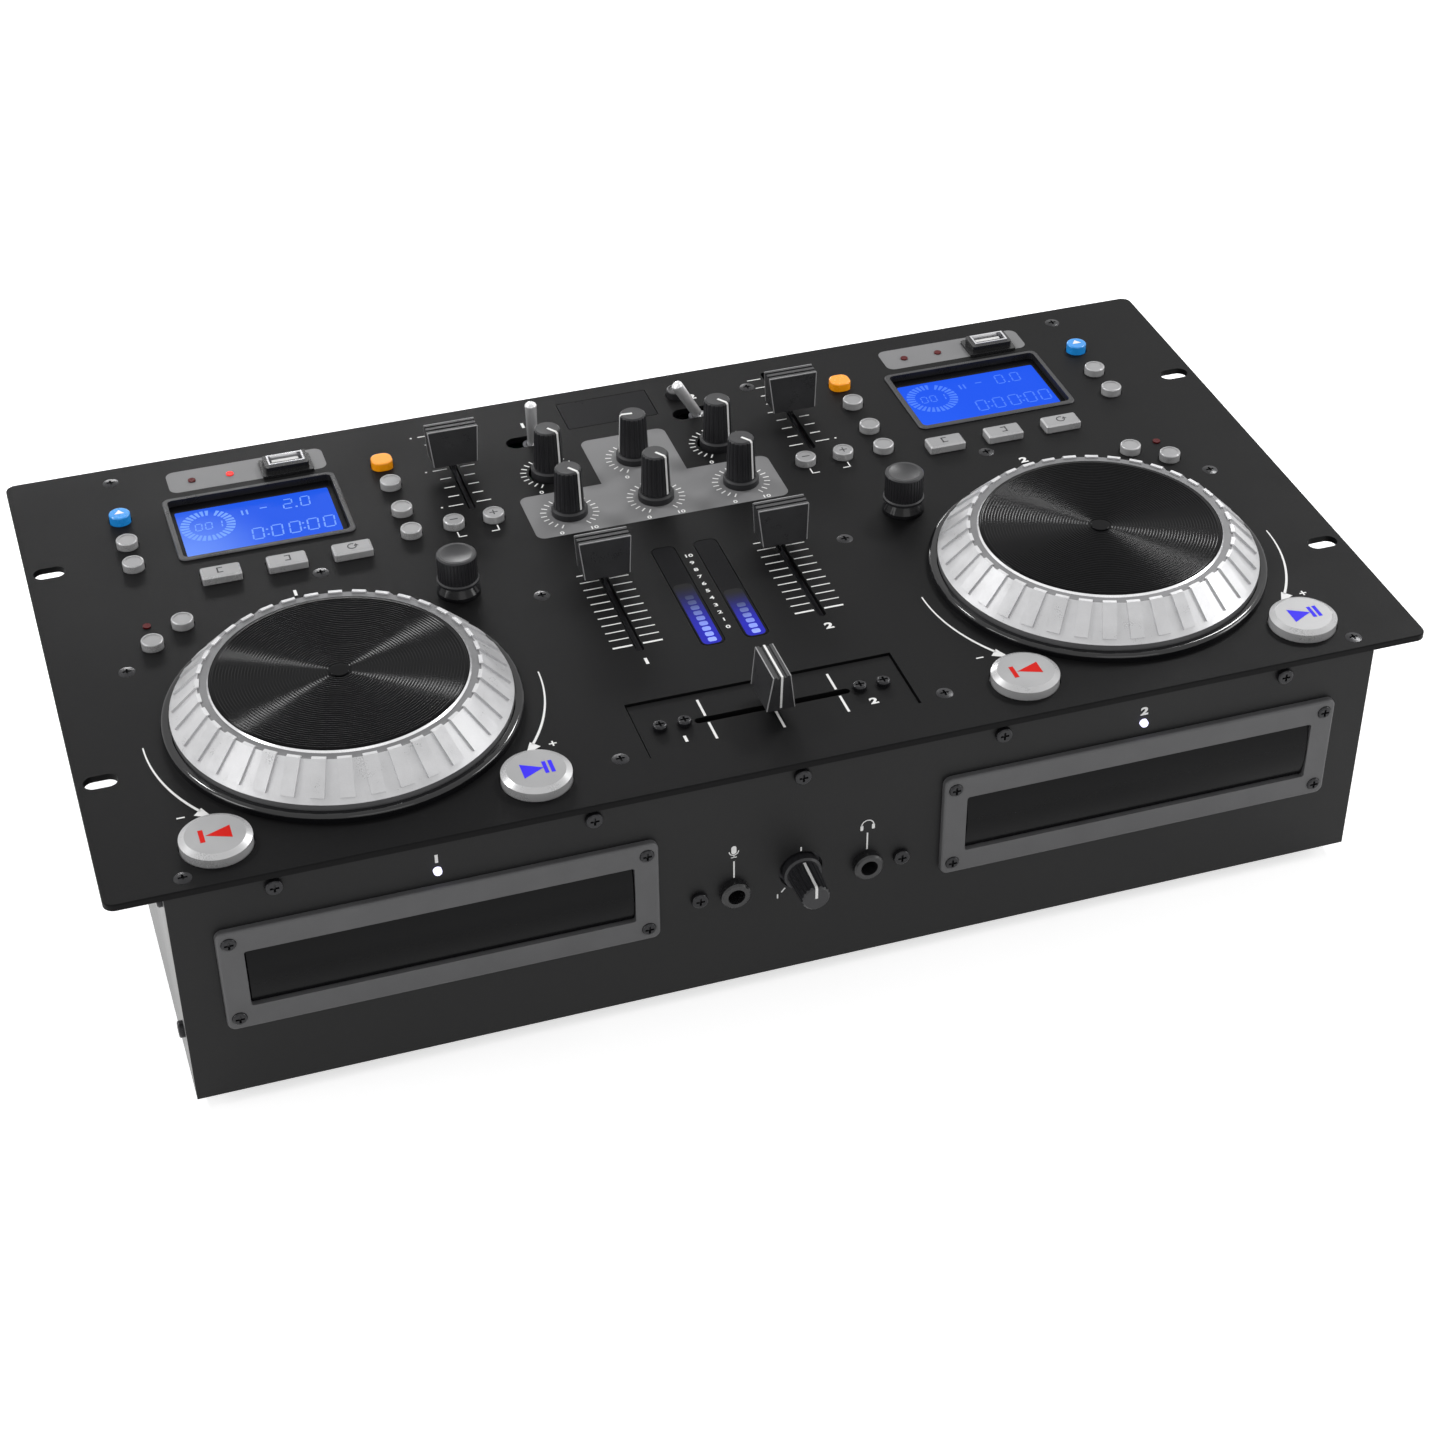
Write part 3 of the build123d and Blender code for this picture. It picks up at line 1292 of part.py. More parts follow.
# ---------------------------------------------------------------- boards and controls
hub_hole = jog_hub_radius + 2 * key_gap
with BuildPart() as circuit_boards:
    with BuildSketch(Plane.XY.offset(board_top)):
        Rectangle(2 * (side_inner - board_margin_x), 2 * (rear_inner - board_margin_y))
        with Locations(*jog_spots):
            Circle(hub_hole, mode=Mode.SUBTRACT)
    extrude(amount=-board_thickness)
    with BuildSketch(Plane.XY.offset(board_top)):
        with Locations(*post_spots):
            Circle(post_radius)
    extrude(amount=board_drop)
    with BuildSketch(Plane.XY.offset(panel_under)):
        with Locations(*post_spots):
            Circle(shank_radius + fit / 2)
    extrude(amount=-shank_length, mode=Mode.SUBTRACT)
save(circuit_boards, "circuit_boards")

switch_spots = small_round_spots + loop_list + [*pitch_spots.values()] + big_spots
rotary_spots = [*knob_spots.values(), *search_spots]
bush_height = board_drop - fit
with BuildPart() as control_housings:
    # key switches
    with BuildSketch(Plane.XY.offset(board_top)):
        with Locations(*switch_spots):
            Rectangle(switch_size, switch_size)
    extrude(amount=switch_body_height)
    with BuildSketch(Plane.XY.offset(board_top + switch_body_height)):
        with Locations(*switch_spots):
            Circle(switch_plunger_radius)
    extrude(amount=switch_plunger_height)
    # rotary controls, bored for their spindles
    with BuildSketch(Plane.XY.offset(board_top)):
        with Locations(*rotary_spots):
            Rectangle(pot_size, pot_size)
    extrude(amount=pot_height)
    with BuildSketch(Plane.XY.offset(board_top)):
        with Locations(*rotary_spots):
            Circle(pot_bush_radius)
    extrude(amount=bush_height)
    with BuildSketch(Plane.XY.offset(board_top)):
        with Locations(*rotary_spots):
            Circle(spindle_radius + spindle_gap)
    extrude(amount=bush_height, mode=Mode.SUBTRACT)
    # slide controls with a groove for the lever
    with BuildSketch(Plane.XY.offset(board_top)):
        with Locations(*channel_slots):
            Rectangle(slide_pot_width, channel_fader_travel + 2 * slide_pot_end)
        with Locations(*pitch_slots):
            Rectangle(slide_pot_width, pitch_fader_travel + 2 * slide_pot_end)
        with Locations((0, cross_plate_y)):
            Rectangle(cross_fader_travel + 2 * slide_pot_end, slide_pot_width)
    extrude(amount=slide_pot_height)
    groove_width = fader_lever_thickness + 2 * slide_pot_groove_gap
    groove_margin = fader_lever_width + 2 * slide_pot_groove_gap
    with BuildSketch(Plane.XY.offset(board_top + slide_pot_floor)):
        with Locations(*channel_slots):
            Rectangle(groove_width, channel_fader_travel + groove_margin)
        with Locations(*pitch_slots):
            Rectangle(groove_width, pitch_fader_travel + groove_margin)
        with Locations((0, cross_plate_y)):
            Rectangle(cross_fader_travel + groove_margin, groove_width)
    extrude(amount=slide_pot_height, mode=Mode.SUBTRACT)
    # lever switches with a cup round the lever's ball
    with BuildSketch(Plane.XY.offset(board_top)):
        with Locations(*source_spots):
            Rectangle(source_switch_length, source_switch_width)
    extrude(amount=source_switch_height)
    with BuildSketch(Plane.XY.offset(board_top)):
        with Locations(*source_spots):
            Circle(source_bush_radius)
    extrude(amount=source_pivot_z - board_top)
    with BuildSketch(Plane.XY.offset(source_pivot_z)):
        with Locations(*source_spots):
            Circle(source_ball_radius + swing_gap)
    extrude(amount=-(source_ball_radius + swing_gap), mode=Mode.SUBTRACT)
    # saddles for the levers' pins
    with BuildSketch(Plane.XY.offset(source_pivot_z)):
        with Locations(*source_spots):
            Rectangle(2 * (source_pin_radius + spindle_gap), 2 * source_bush_radius)
    extrude(amount=-(source_pin_radius + spindle_gap), mode=Mode.SUBTRACT)
    # rotary control behind the front panel, on a recessed mounting block
    with BuildSketch(front_plane(front_inner + front_pot_mount)):
        with Locations((0, cue_knob_z)):
            Rectangle(front_mount_size, front_mount_size)
    extrude(amount=front_pot_mount)
    with BuildSketch(front_plane(front_inner + front_pot_mount / 2)):
        with Locations((0, cue_knob_z)):
            Circle(knob_hole_radius)
    extrude(amount=front_pot_mount / 2, mode=Mode.SUBTRACT)
    with BuildSketch(front_plane(front_inner + front_pot_mount + pot_height)):
        with Locations((0, cue_knob_z)):
            Rectangle(pot_size, pot_size)
    extrude(amount=pot_height)
    with BuildSketch(front_plane(front_inner + front_pot_mount + pot_height)):
        with Locations((0, cue_knob_z)):
            Circle(pot_bush_radius)
    extrude(amount=pot_height + front_pot_mount - fit)
    with BuildSketch(front_plane(front_inner + front_pot_mount + pot_height)):
        with Locations((0, cue_knob_z)):
            Circle(spindle_radius + spindle_gap)
    extrude(amount=pot_height + front_pot_mount, mode=Mode.SUBTRACT)
save(control_housings, "control_housings")

# ---------------------------------------------------------------- power supply
with BuildPart() as power_supply:
    with BuildSketch(Plane.XY.offset(floor_top)):
        with Locations((supply_x, supply_y)):
            with GridLocations(supply_length - 4 * post_radius, supply_width - 4 * post_radius,
                               2, 2):
                Circle(post_radius)
    extrude(amount=supply_post_height)
    supply_top = floor_top + supply_post_height + board_thickness
    with BuildSketch(Plane.XY.offset(supply_top)):
        with Locations((supply_x, supply_y)):
            Rectangle(supply_length, supply_width)
    extrude(amount=-board_thickness)
    with BuildSketch(Plane.XY.offset(supply_top)):
        with Locations((supply_x - supply_length / 4, supply_y)):
            Rectangle(transformer_length, transformer_lamination)
    extrude(amount=transformer_height)
    with BuildSketch(Plane.XY.offset(supply_top)):
        with Locations((supply_x - supply_length / 4, supply_y)):
            Rectangle(transformer_length * 2 / 3, transformer_width)
    extrude(amount=transformer_height * 4 / 5)
    with BuildSketch(Plane.XY.offset(supply_top)):
        with Locations((supply_x + supply_length / 8, supply_y)):
            with GridLocations(3 * capacitor_radius, 0, 2, 1):
                Circle(capacitor_radius)
    extrude(amount=capacitor_height)
save(power_supply, "power_supply")

# ---------------------------------------------------------------- rear sockets
with BuildPart() as rear_sockets:
    # phono sockets: barrels on one moulded block behind the panel
    with BuildSketch(rear_plane(rear_inner - rca_block_depth)):
        with Locations((-rca_center_x, rca_center_z)):
            Rectangle(rca_block_length, rca_block_height)
    extrude(amount=rca_block_depth)
    with BuildSketch(rear_plane(rear_inner)):
        with Locations(*[(-x, z) for x, z in rca_spots]):
            Circle(rca_barrel_radius)
    extrude(amount=sheet + rca_block_depth + rca_barrel_length)
    with BuildSketch(rear_plane(rear_face + rca_block_depth + rca_barrel_length)):
        with Locations(*[(-x, z) for x, z in rca_spots]):
            Circle(rca_bore_radius)
    extrude(amount=-rca_bore_depth, mode=Mode.SUBTRACT)
    # mains inlet: flange, recessed box and three blades
    with BuildSketch(rear_plane(rear_face)):
        with Locations((-inlet_x, inlet_z)):
            RectangleRounded(inlet_length, inlet_height, inlet_flange)
    extrude(amount=inlet_flange)
    with BuildSketch(rear_plane(rear_face)):
        with Locations((-inlet_x, inlet_z)):
            Rectangle(inlet_body_length, inlet_body_height)
    extrude(amount=-(inlet_cavity_depth - inlet_flange + inlet_wall))
    with BuildSketch(rear_plane(rear_face + inlet_flange)):
        with Locations((-inlet_x, inlet_z)):
            Rectangle(inlet_cavity_length, inlet_cavity_height)
    extrude(amount=-inlet_cavity_depth, mode=Mode.SUBTRACT)
    with BuildSketch(rear_plane(rear_face + inlet_flange - inlet_cavity_depth)):
        with Locations((-inlet_x - inlet_pin_spread, inlet_z - inlet_pin_height / 2),
                       (-inlet_x + inlet_pin_spread, inlet_z - inlet_pin_height / 2),
                       (-inlet_x, inlet_z + inlet_pin_height / 2)):
            Rectangle(inlet_pin_width, inlet_pin_height)
    extrude(amount=inlet_pin_length)
    # frame round the rocker with bearing holes for its pins
    with BuildSketch(rear_plane(rear_face)):
        with Locations((-rocker_x, inlet_z)):
            Rectangle(rocker_hole_width + 2 * rocker_frame_wall,
                      rocker_hole_length + 2 * rocker_frame_wall)
    extrude(amount=rocker_frame_proud)
    with BuildSketch(rear_plane(rear_face)):
        with Locations((-rocker_x, inlet_z)):
            Rectangle(rocker_hole_width, rocker_hole_length)
    extrude(amount=-rocker_frame_depth)
    with BuildSketch(rear_plane(rear_face + rocker_frame_proud)):
        with Locations((-rocker_x, inlet_z)):
            Rectangle(rocker_width + 2 * rocker_gap, rocker_length + 2 * rocker_gap)
    extrude(amount=-(rocker_frame_proud + rocker_frame_depth - rocker_frame_wall),
            mode=Mode.SUBTRACT)
    rocker_pivot_y = rear_face - rocker_pivot_depth
    with BuildSketch(Plane.YZ.offset(rocker_x - rocker_hole_width / 2)):
        with Locations((rocker_pivot_y, inlet_z)):
            Circle(rocker_pin_radius + spindle_gap)
    extrude(amount=rocker_hole_width, mode=Mode.SUBTRACT)
save(rear_sockets, "rear_sockets")

# rocker: two faces in a shallow V, ends rounded about its pins, tilted at rest
rocker_lean = radians(rocker_angle)
pivot_plane = Plane(origin=(rocker_x - rocker_width / 2, rocker_pivot_y, inlet_z),
                    x_dir=(0, cos(rocker_lean), sin(rocker_lean)), z_dir=(1, 0, 0))
rocker_swing = rocker_length / 2
outer_angle = radians(rocker_outer_angle)
inner_angle = radians(rocker_inner_angle)
with BuildPart() as power_rocker:
    with BuildSketch(pivot_plane):
        with BuildLine():
            out_end = (rocker_swing * sin(outer_angle), rocker_swing * cos(outer_angle))
            side_end = (0, rocker_swing)
            in_end = (-rocker_swing * sin(inner_angle), rocker_swing * cos(inner_angle))
            ThreePointArc(out_end, side_end, in_end)
            Polyline(in_end, (in_end[0] - rocker_gap, 0), (in_end[0], -in_end[1]))
            ThreePointArc((in_end[0], -in_end[1]), (0, -rocker_swing), (out_end[0], -out_end[1]))
            Polyline((out_end[0], -out_end[1]), (out_end[0] - rocker_notch, 0), out_end)
        make_face()
    extrude(amount=rocker_width)
    with BuildSketch(Plane.YZ.offset(rocker_x - rocker_width / 2 - rocker_gap - rocker_pin_length)):
        with Locations((rocker_pivot_y, inlet_z)):
            Circle(rocker_pin_radius)
    extrude(amount=rocker_width + 2 * (rocker_gap + rocker_pin_length))
save(power_rocker, "power_rocker")
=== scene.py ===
import math

import bmesh
import bpy
from mathutils import Matrix, Vector


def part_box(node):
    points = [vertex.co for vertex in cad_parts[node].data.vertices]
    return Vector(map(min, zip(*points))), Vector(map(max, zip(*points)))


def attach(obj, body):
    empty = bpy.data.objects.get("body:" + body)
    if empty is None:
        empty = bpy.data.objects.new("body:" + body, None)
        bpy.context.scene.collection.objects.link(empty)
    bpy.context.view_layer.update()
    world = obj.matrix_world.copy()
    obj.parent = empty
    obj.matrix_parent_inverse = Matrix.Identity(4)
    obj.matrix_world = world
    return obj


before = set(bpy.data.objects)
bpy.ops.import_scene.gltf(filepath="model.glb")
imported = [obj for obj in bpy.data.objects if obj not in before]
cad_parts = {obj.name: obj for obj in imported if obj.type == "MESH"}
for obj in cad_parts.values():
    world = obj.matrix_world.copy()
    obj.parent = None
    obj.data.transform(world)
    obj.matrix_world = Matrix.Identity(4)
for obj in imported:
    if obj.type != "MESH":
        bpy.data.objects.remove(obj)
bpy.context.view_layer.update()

# Looks of a twin-deck disc console. Lengths in this file are millimetres, turned to metres
# by MM; X to the right, Y to the back, Z up, as in the CAD frame. INK and GREY_INK are the
# thicknesses of the printed marks, SKIN is half the thickness of the knobs' pointers.
MM = 0.001
INK = 0.05
GREY_INK = 0.03
SKIN = 0.06


# ---------------------------------------------------------------- places read from the frame
def corners(node):
    low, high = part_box(node)
    return Vector(low) / MM, Vector(high) / MM


def middle(node):
    low, high = corners(node)
    return (low + high) / 2


SIDES = {"a": -1, "b": 1}
DECK_NUMERALS = {"a": "1", "b": "2"}
PANEL_TOP = corners("top_panel")[1].z
FRONT_FACE = corners("front_panel")[0].y
REAR_FACE = corners("rear_panel")[1].y
PLATE_TOP = corners("crossfader_plate")[1].z
SCREEN_TOP = corners("display_screens")[1].z
JOG = {deck: middle(f"jog_wheel_{deck}") for deck in SIDES}
SCREEN_LENGTH = 64.4
DISPLAY_X = corners("display_screens")[1].x - SCREEN_LENGTH / 2
DISPLAY_Y = middle("display_screens").y
PITCH_X = middle("pitch_fader_cap_b").x
CHANNEL_X = middle("channel_fader_cap_b").x
CROSS_Y = middle("crossfader_plate").y
BEND_XS = (64.0, 79.8)
BEND_Y = middle("bend_keys_b").y
LOOP_XS = (121.05, 146.15, 171.25)
LOOP_Y = middle("loop_keys_b").y
FRONT_KNOB_Z = middle("cue_mix_knob").z
JACK_X = 25.1


# ---------------------------------------------------------------- materials
def new_material(name):
    material = bpy.data.materials.new(name)
    material.use_nodes = True
    nodes = material.node_tree.nodes
    return material, nodes, material.node_tree.links, nodes["Principled BSDF"]


def surface(name, color, roughness, metallic=0.0, grain=0.5, relief=0.1, mottle=0.12,
            patch=14.0, uneven=0.08, specular=0.5, coat=0.0, emit=None, emit_strength=0.0):
    """A surface with a fine grain in its relief and soft patches in its colour and roughness;
    grain and patch are their sizes."""
    material, nodes, links, shader = new_material(name)
    shader.inputs["Metallic"].default_value = metallic
    shader.inputs["Specular IOR Level"].default_value = specular
    shader.inputs["Coat Weight"].default_value = coat
    shader.inputs["Coat Roughness"].default_value = 0.08
    place = nodes.new("ShaderNodeTexCoord")
    fine = nodes.new("ShaderNodeTexNoise")
    fine.inputs["Scale"].default_value = 1 / (grain * MM)
    fine.inputs["Detail"].default_value = 3
    links.new(place.outputs["Object"], fine.inputs["Vector"])
    bump = nodes.new("ShaderNodeBump")
    bump.inputs["Strength"].default_value = relief
    bump.inputs["Distance"].default_value = grain * MM / 3
    links.new(fine.outputs["Fac"], bump.inputs["Height"])
    links.new(bump.outputs["Normal"], shader.inputs["Normal"])
    broad = nodes.new("ShaderNodeTexNoise")
    broad.inputs["Scale"].default_value = 1 / (patch * MM)
    broad.inputs["Detail"].default_value = 4
    links.new(place.outputs["Object"], broad.inputs["Vector"])
    both_noises = nodes.new("ShaderNodeMath")
    both_noises.operation = "MULTIPLY_ADD"
    links.new(fine.outputs["Fac"], both_noises.inputs[0])
    both_noises.inputs[1].default_value = 0.5
    links.new(broad.outputs["Fac"], both_noises.inputs[2])
    tint = nodes.new("ShaderNodeMapRange")
    tint.inputs["From Min"].default_value = 0.45
    tint.inputs["From Max"].default_value = 1.05
    links.new(both_noises.outputs[0], tint.inputs["Value"])
    mix = nodes.new("ShaderNodeMix")
    mix.data_type = "RGBA"
    links.new(tint.outputs["Result"], mix.inputs["Factor"])
    mix.inputs["A"].default_value = [c * (1 - mottle) for c in color] + [1]
    mix.inputs["B"].default_value = [min(1, c * (1 + mottle)) for c in color] + [1]
    links.new(mix.outputs["Result"], shader.inputs["Base Color"])
    rough = nodes.new("ShaderNodeMapRange")
    rough.inputs["To Min"].default_value = max(0.02, roughness - uneven)
    rough.inputs["To Max"].default_value = min(1, roughness + uneven)
    links.new(tint.outputs["Result"], rough.inputs["Value"])
    links.new(rough.outputs["Result"], shader.inputs["Roughness"])
    if emit:
        shader.inputs["Emission Color"].default_value = [*emit, 1]
        shader.inputs["Emission Strength"].default_value = emit_strength
    return material


POWDER = surface("powder_coat", (0.0042, 0.0042, 0.0045), 0.5, grain=0.45, relief=0.25,
                 mottle=0.22, patch=60, specular=0.08)
CASE_POWDER = surface("case_powder_coat", (0.0065, 0.0065, 0.0069), 0.48, grain=0.45,
                      relief=0.25, mottle=0.2, patch=60, specular=0.22)
SIDE_POWDER = surface("side_powder_coat", (0.012, 0.012, 0.0125), 0.34, grain=0.45, relief=0.2,
                      mottle=0.2, patch=60, specular=0.6)
BEZEL = surface("bezel_plastic", (0.10, 0.10, 0.103), 0.45, grain=0.35, relief=0.1,
                specular=0.35)
# a paler copy of the bezel plastic for the bezels' rounded edges: a painted highlight
BEZEL_EDGE_HIGHLIGHT = surface("bezel_edge_highlight", (0.22, 0.22, 0.225), 0.35, grain=0.35, relief=0.1)
DOOR = surface("tray_door_plastic", (0.004, 0.004, 0.0045), 0.22, grain=1.2, relief=0.02,
               specular=0.1, uneven=0.03)
TRAY = surface("tray_plastic", (0.02, 0.02, 0.022), 0.4, grain=0.4, relief=0.08)
RUBBER = surface("foot_rubber", (0.018, 0.018, 0.018), 0.8, grain=0.6, relief=0.3, specular=0.2)
SCREW = surface("black_screw", (0.016, 0.016, 0.018), 0.27, metallic=0.35, grain=0.3, relief=0.1,
                specular=0.4)
KNOB = surface("knob_plastic", (0.016, 0.016, 0.018), 0.42, grain=0.3, relief=0.12,
               specular=0.4)
SEARCH = surface("search_knob_plastic", (0.018, 0.018, 0.02), 0.38, grain=0.3, relief=0.12,
                 specular=0.45)
GLOSS_BLACK = surface("gloss_black", (0.006, 0.006, 0.007), 0.1, grain=3, relief=0.01,
                      mottle=0.1, uneven=0.02, specular=0.5)
COLLAR = surface("knob_collar", (0.008, 0.008, 0.009), 0.16, grain=3, relief=0.01, mottle=0.1,
                 uneven=0.03, specular=0.22)
FADER = surface("fader_plastic", (0.034, 0.034, 0.036), 0.3, grain=0.4, relief=0.12,
                mottle=0.1, patch=8, uneven=0.05, specular=0.35, coat=0.15)
# a pale grey for the fader caps' edges: a painted highlight
FADER_EDGE_HIGHLIGHT = surface("fader_edge_highlight", (0.36, 0.36, 0.365), 0.25, grain=0.4, relief=0.08, mottle=0.2)
SILVER = surface("jog_silver", (0.62, 0.62, 0.63), 0.33, metallic=0.4, grain=0.35, relief=0.2,
                 mottle=0.08, patch=8)
# a darker copy of the jog silver for the flat shoulder and the lower band: painted shade
JOG_PAINTED_SHADE = surface("jog_silver_painted_shade", (0.16, 0.16, 0.165), 0.42, metallic=0.3, grain=0.3, relief=0.25,
                     mottle=0.1)
BRIGHT_RING = surface("bright_ring", (0.85, 0.85, 0.86), 0.2, metallic=0.9, grain=0.5,
                      relief=0.03)
DISC_BLACK = surface("jog_disc", (0.003, 0.003, 0.0035), 0.13, grain=0.6, relief=0.03,
                     mottle=0.3, specular=0.075, uneven=0.02)
KEY_SILVER = surface("key_silver", (0.30, 0.30, 0.305), 0.36, metallic=0.15, grain=0.3,
                     relief=0.12, mottle=0.06)
# a paler copy of the key silver for the keys' rims and sides: a painted highlight
KEY_RIM_HIGHLIGHT = surface("key_rim_highlight", (0.52, 0.52, 0.525), 0.3, metallic=0.3, grain=0.3, relief=0.08,
                  mottle=0.06)
BIG_KEY = surface("big_key_silver", (0.36, 0.36, 0.365), 0.36, metallic=0.15, grain=0.3,
                  relief=0.14, mottle=0.06)
KEY_DARK = surface("key_dark", (0.02, 0.02, 0.022), 0.35, grain=0.3, relief=0.1)
KEY_BLUE = surface("key_blue", (0.015, 0.27, 0.72), 0.25, grain=1.0, relief=0.03, mottle=0.08,
                   coat=0.3, emit=(0.01, 0.25, 0.75), emit_strength=0.15)
KEY_ORANGE = surface("key_orange", (0.93, 0.33, 0.005), 0.25, grain=1.0, relief=0.03,
                     mottle=0.08, coat=0.3, emit=(1.0, 0.35, 0.0), emit_strength=0.18)
CHROME = surface("lever_chrome", (0.80, 0.80, 0.81), 0.24, metallic=0.55, grain=1.5, relief=0.02,
                 mottle=0.04, uneven=0.04)
STEEL = surface("bright_steel", (0.72, 0.72, 0.74), 0.22, metallic=1.0, grain=0.4, relief=0.06)
WINDOW = surface("window_acrylic", (0.004, 0.004, 0.005), 0.3, grain=2.5, relief=0.01,
                 mottle=0.1, uneven=0.03, specular=0.06)
SCREEN = surface("screen_black", (0.003, 0.003, 0.004), 0.25, grain=3, relief=0.01,
                 uneven=0.03, specular=0.08)
DISPLAY_FRAME = surface("display_frame", (0.016, 0.016, 0.018), 0.3, grain=0.4, relief=0.08)
# a paler copy of the frame plastic for the rims' sloping faces: a painted highlight
DISPLAY_EDGE_HIGHLIGHT = surface("display_edge_highlight", (0.075, 0.075, 0.08), 0.3, grain=0.4, relief=0.08)
SOCKET_BLACK = surface("socket_black", (0.015, 0.015, 0.016), 0.28, grain=0.8, relief=0.05)
SOCKET_WHITE = surface("socket_white", (0.75, 0.75, 0.74), 0.4, grain=0.5, relief=0.05)
SOCKET_RED = surface("socket_red", (0.55, 0.02, 0.02), 0.4, grain=0.5, relief=0.05)
BOARD = surface("board_mask", (0.02, 0.10, 0.05), 0.35, grain=0.8, relief=0.2, mottle=0.3)
HOUSING = surface("control_housing", (0.10, 0.10, 0.11), 0.5, grain=0.4, relief=0.1)
SUPPLY = surface("supply_parts", (0.12, 0.12, 0.13), 0.45, metallic=0.3, grain=1.5, relief=0.2,
                 mottle=0.4)
LOADER = surface("loader_moulding", (0.03, 0.03, 0.032), 0.5, grain=0.5, relief=0.1)
WHITE_INK = surface("white_ink", (0.84, 0.84, 0.83), 0.5, grain=0.25, relief=0.1, mottle=0.05)
GREY_PRINT = surface("grey_ink", (0.21, 0.21, 0.214), 0.42, grain=0.4, relief=0.12,
                     mottle=0.08, patch=40, specular=0.15)
DARK_INK = surface("dark_ink", (0.02, 0.02, 0.022), 0.5, grain=0.25, relief=0.1)
RED_INK = surface("red_ink", (0.55, 0.008, 0.005), 0.45, grain=0.25, relief=0.08, specular=0.08,
                  emit=(0.8, 0.02, 0.0), emit_strength=0.08)
VIOLET_INK = surface("violet_ink", (0.04, 0.025, 0.70), 0.45, grain=0.25, relief=0.08,
                     specular=0.08, emit=(0.05, 0.03, 1.0), emit_strength=0.2)
LAMP_RED = surface("lamp_red_lit", (0.75, 0.01, 0.01), 0.2, grain=0.8, relief=0.03,
                   emit=(1.0, 0.02, 0.01), emit_strength=0.6)
LAMP_DARK = surface("lamp_red_dark", (0.09, 0.004, 0.005), 0.3, grain=0.8, relief=0.03, specular=0.15)
LAMP_VIOLET = surface("lamp_violet_lit", (0.75, 0.75, 1.0), 0.2, grain=0.8, relief=0.03,
                      emit=(0.72, 0.70, 1.0), emit_strength=1.6)


def glow(name, color, strength, fade_axis=None, fade_from=0.0, fade_to=1.0):
    """A lit surface; with an axis it fades from full at fade_from to dark at fade_to."""
    material, nodes, links, shader = new_material(name)
    shader.inputs["Roughness"].default_value = 0.3
    shader.inputs["Specular IOR Level"].default_value = 0.12
    shader.inputs["Base Color"].default_value = (0.006, 0.006, 0.007, 1)
    shader.inputs["Emission Strength"].default_value = strength
    place = nodes.new("ShaderNodeTexCoord")
    grain = nodes.new("ShaderNodeTexNoise")
    grain.inputs["Scale"].default_value = 1 / (2.5 * MM)
    links.new(place.outputs["Object"], grain.inputs["Vector"])
    level = nodes.new("ShaderNodeMapRange")
    level.inputs["To Min"].default_value = 0.82
    level.inputs["To Max"].default_value = 1.18
    links.new(grain.outputs["Fac"], level.inputs["Value"])
    amount = level.outputs["Result"]
    if fade_axis is not None:
        split = nodes.new("ShaderNodeSeparateXYZ")
        links.new(place.outputs["Object"], split.inputs["Vector"])
        fade = nodes.new("ShaderNodeMapRange")
        fade.interpolation_type = "SMOOTHSTEP"
        fade.inputs["From Min"].default_value = fade_from * MM
        fade.inputs["From Max"].default_value = fade_to * MM
        fade.inputs["To Min"].default_value = 1
        fade.inputs["To Max"].default_value = 0
        links.new(split.outputs[fade_axis], fade.inputs["Value"])
        both = nodes.new("ShaderNodeMath")
        both.operation = "MULTIPLY"
        links.new(amount, both.inputs[0])
        links.new(fade.outputs["Result"], both.inputs[1])
        amount = both.outputs[0]
    mix = nodes.new("ShaderNodeMix")
    mix.data_type = "RGBA"
    mix.inputs["A"].default_value = (0, 0, 0, 1)
    mix.inputs["B"].default_value = (*color, 1)
    links.new(amount, mix.inputs["Factor"])
    links.new(mix.outputs["Result"], shader.inputs["Emission Color"])
    return material


# ---------------------------------------------------------------- drawing helpers
def top_plane(z):
    return Matrix.Translation((0, 0, z * MM)) @ Matrix.Scale(MM, 4)


def front_plane(y):
    turn = Matrix(((1, 0, 0, 0), (0, 0, -1, y * MM), (0, 1, 0, 0), (0, 0, 0, 1)))
    return turn @ Matrix.Scale(MM, 4)


def rear_plane(y):
    turn = Matrix(((-1, 0, 0, 0), (0, 0, 1, y * MM), (0, 1, 0, 0), (0, 0, 0, 1)))
    return turn @ Matrix.Scale(MM, 4)


def polar(radius, angle, center=(0, 0)):
    turn = math.radians(angle)
    return (center[0] + radius * math.cos(turn), center[1] + radius * math.sin(turn))


def quarter_round(center, radius, start, steps=6):
    """Points of a quarter circle, counter-clockwise from its start angle."""
    return [polar(radius, start + 90 * step / steps, center) for step in range(steps + 1)]


def rounded_box(center, length, width, radius, steps=6):
    """Points of a rounded rectangle, counter-clockwise."""
    points = []
    for quarter, (sx, sy) in enumerate(((1, 1), (-1, 1), (-1, -1), (1, -1))):
        corner = (center[0] + sx * (length / 2 - radius), center[1] + sy * (width / 2 - radius))
        points += quarter_round(corner, radius, 90 * quarter, steps)
    return points


def finish_mesh(mesh, name, material, body, smooth=False):
    bmesh.ops.remove_doubles(mesh, verts=mesh.verts, dist=1e-7)
    bmesh.ops.recalc_face_normals(mesh, faces=mesh.faces)
    data = bpy.data.meshes.new(name)
    mesh.to_mesh(data)
    mesh.free()
    data.materials.append(material)
    for face in data.polygons:
        face.use_smooth = smooth
    piece = bpy.data.objects.new(name, data)
    bpy.context.scene.collection.objects.link(piece)
    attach(piece, body)
    return piece


ARC_STEPS = 24
DIGIT_LEAN = 0.08


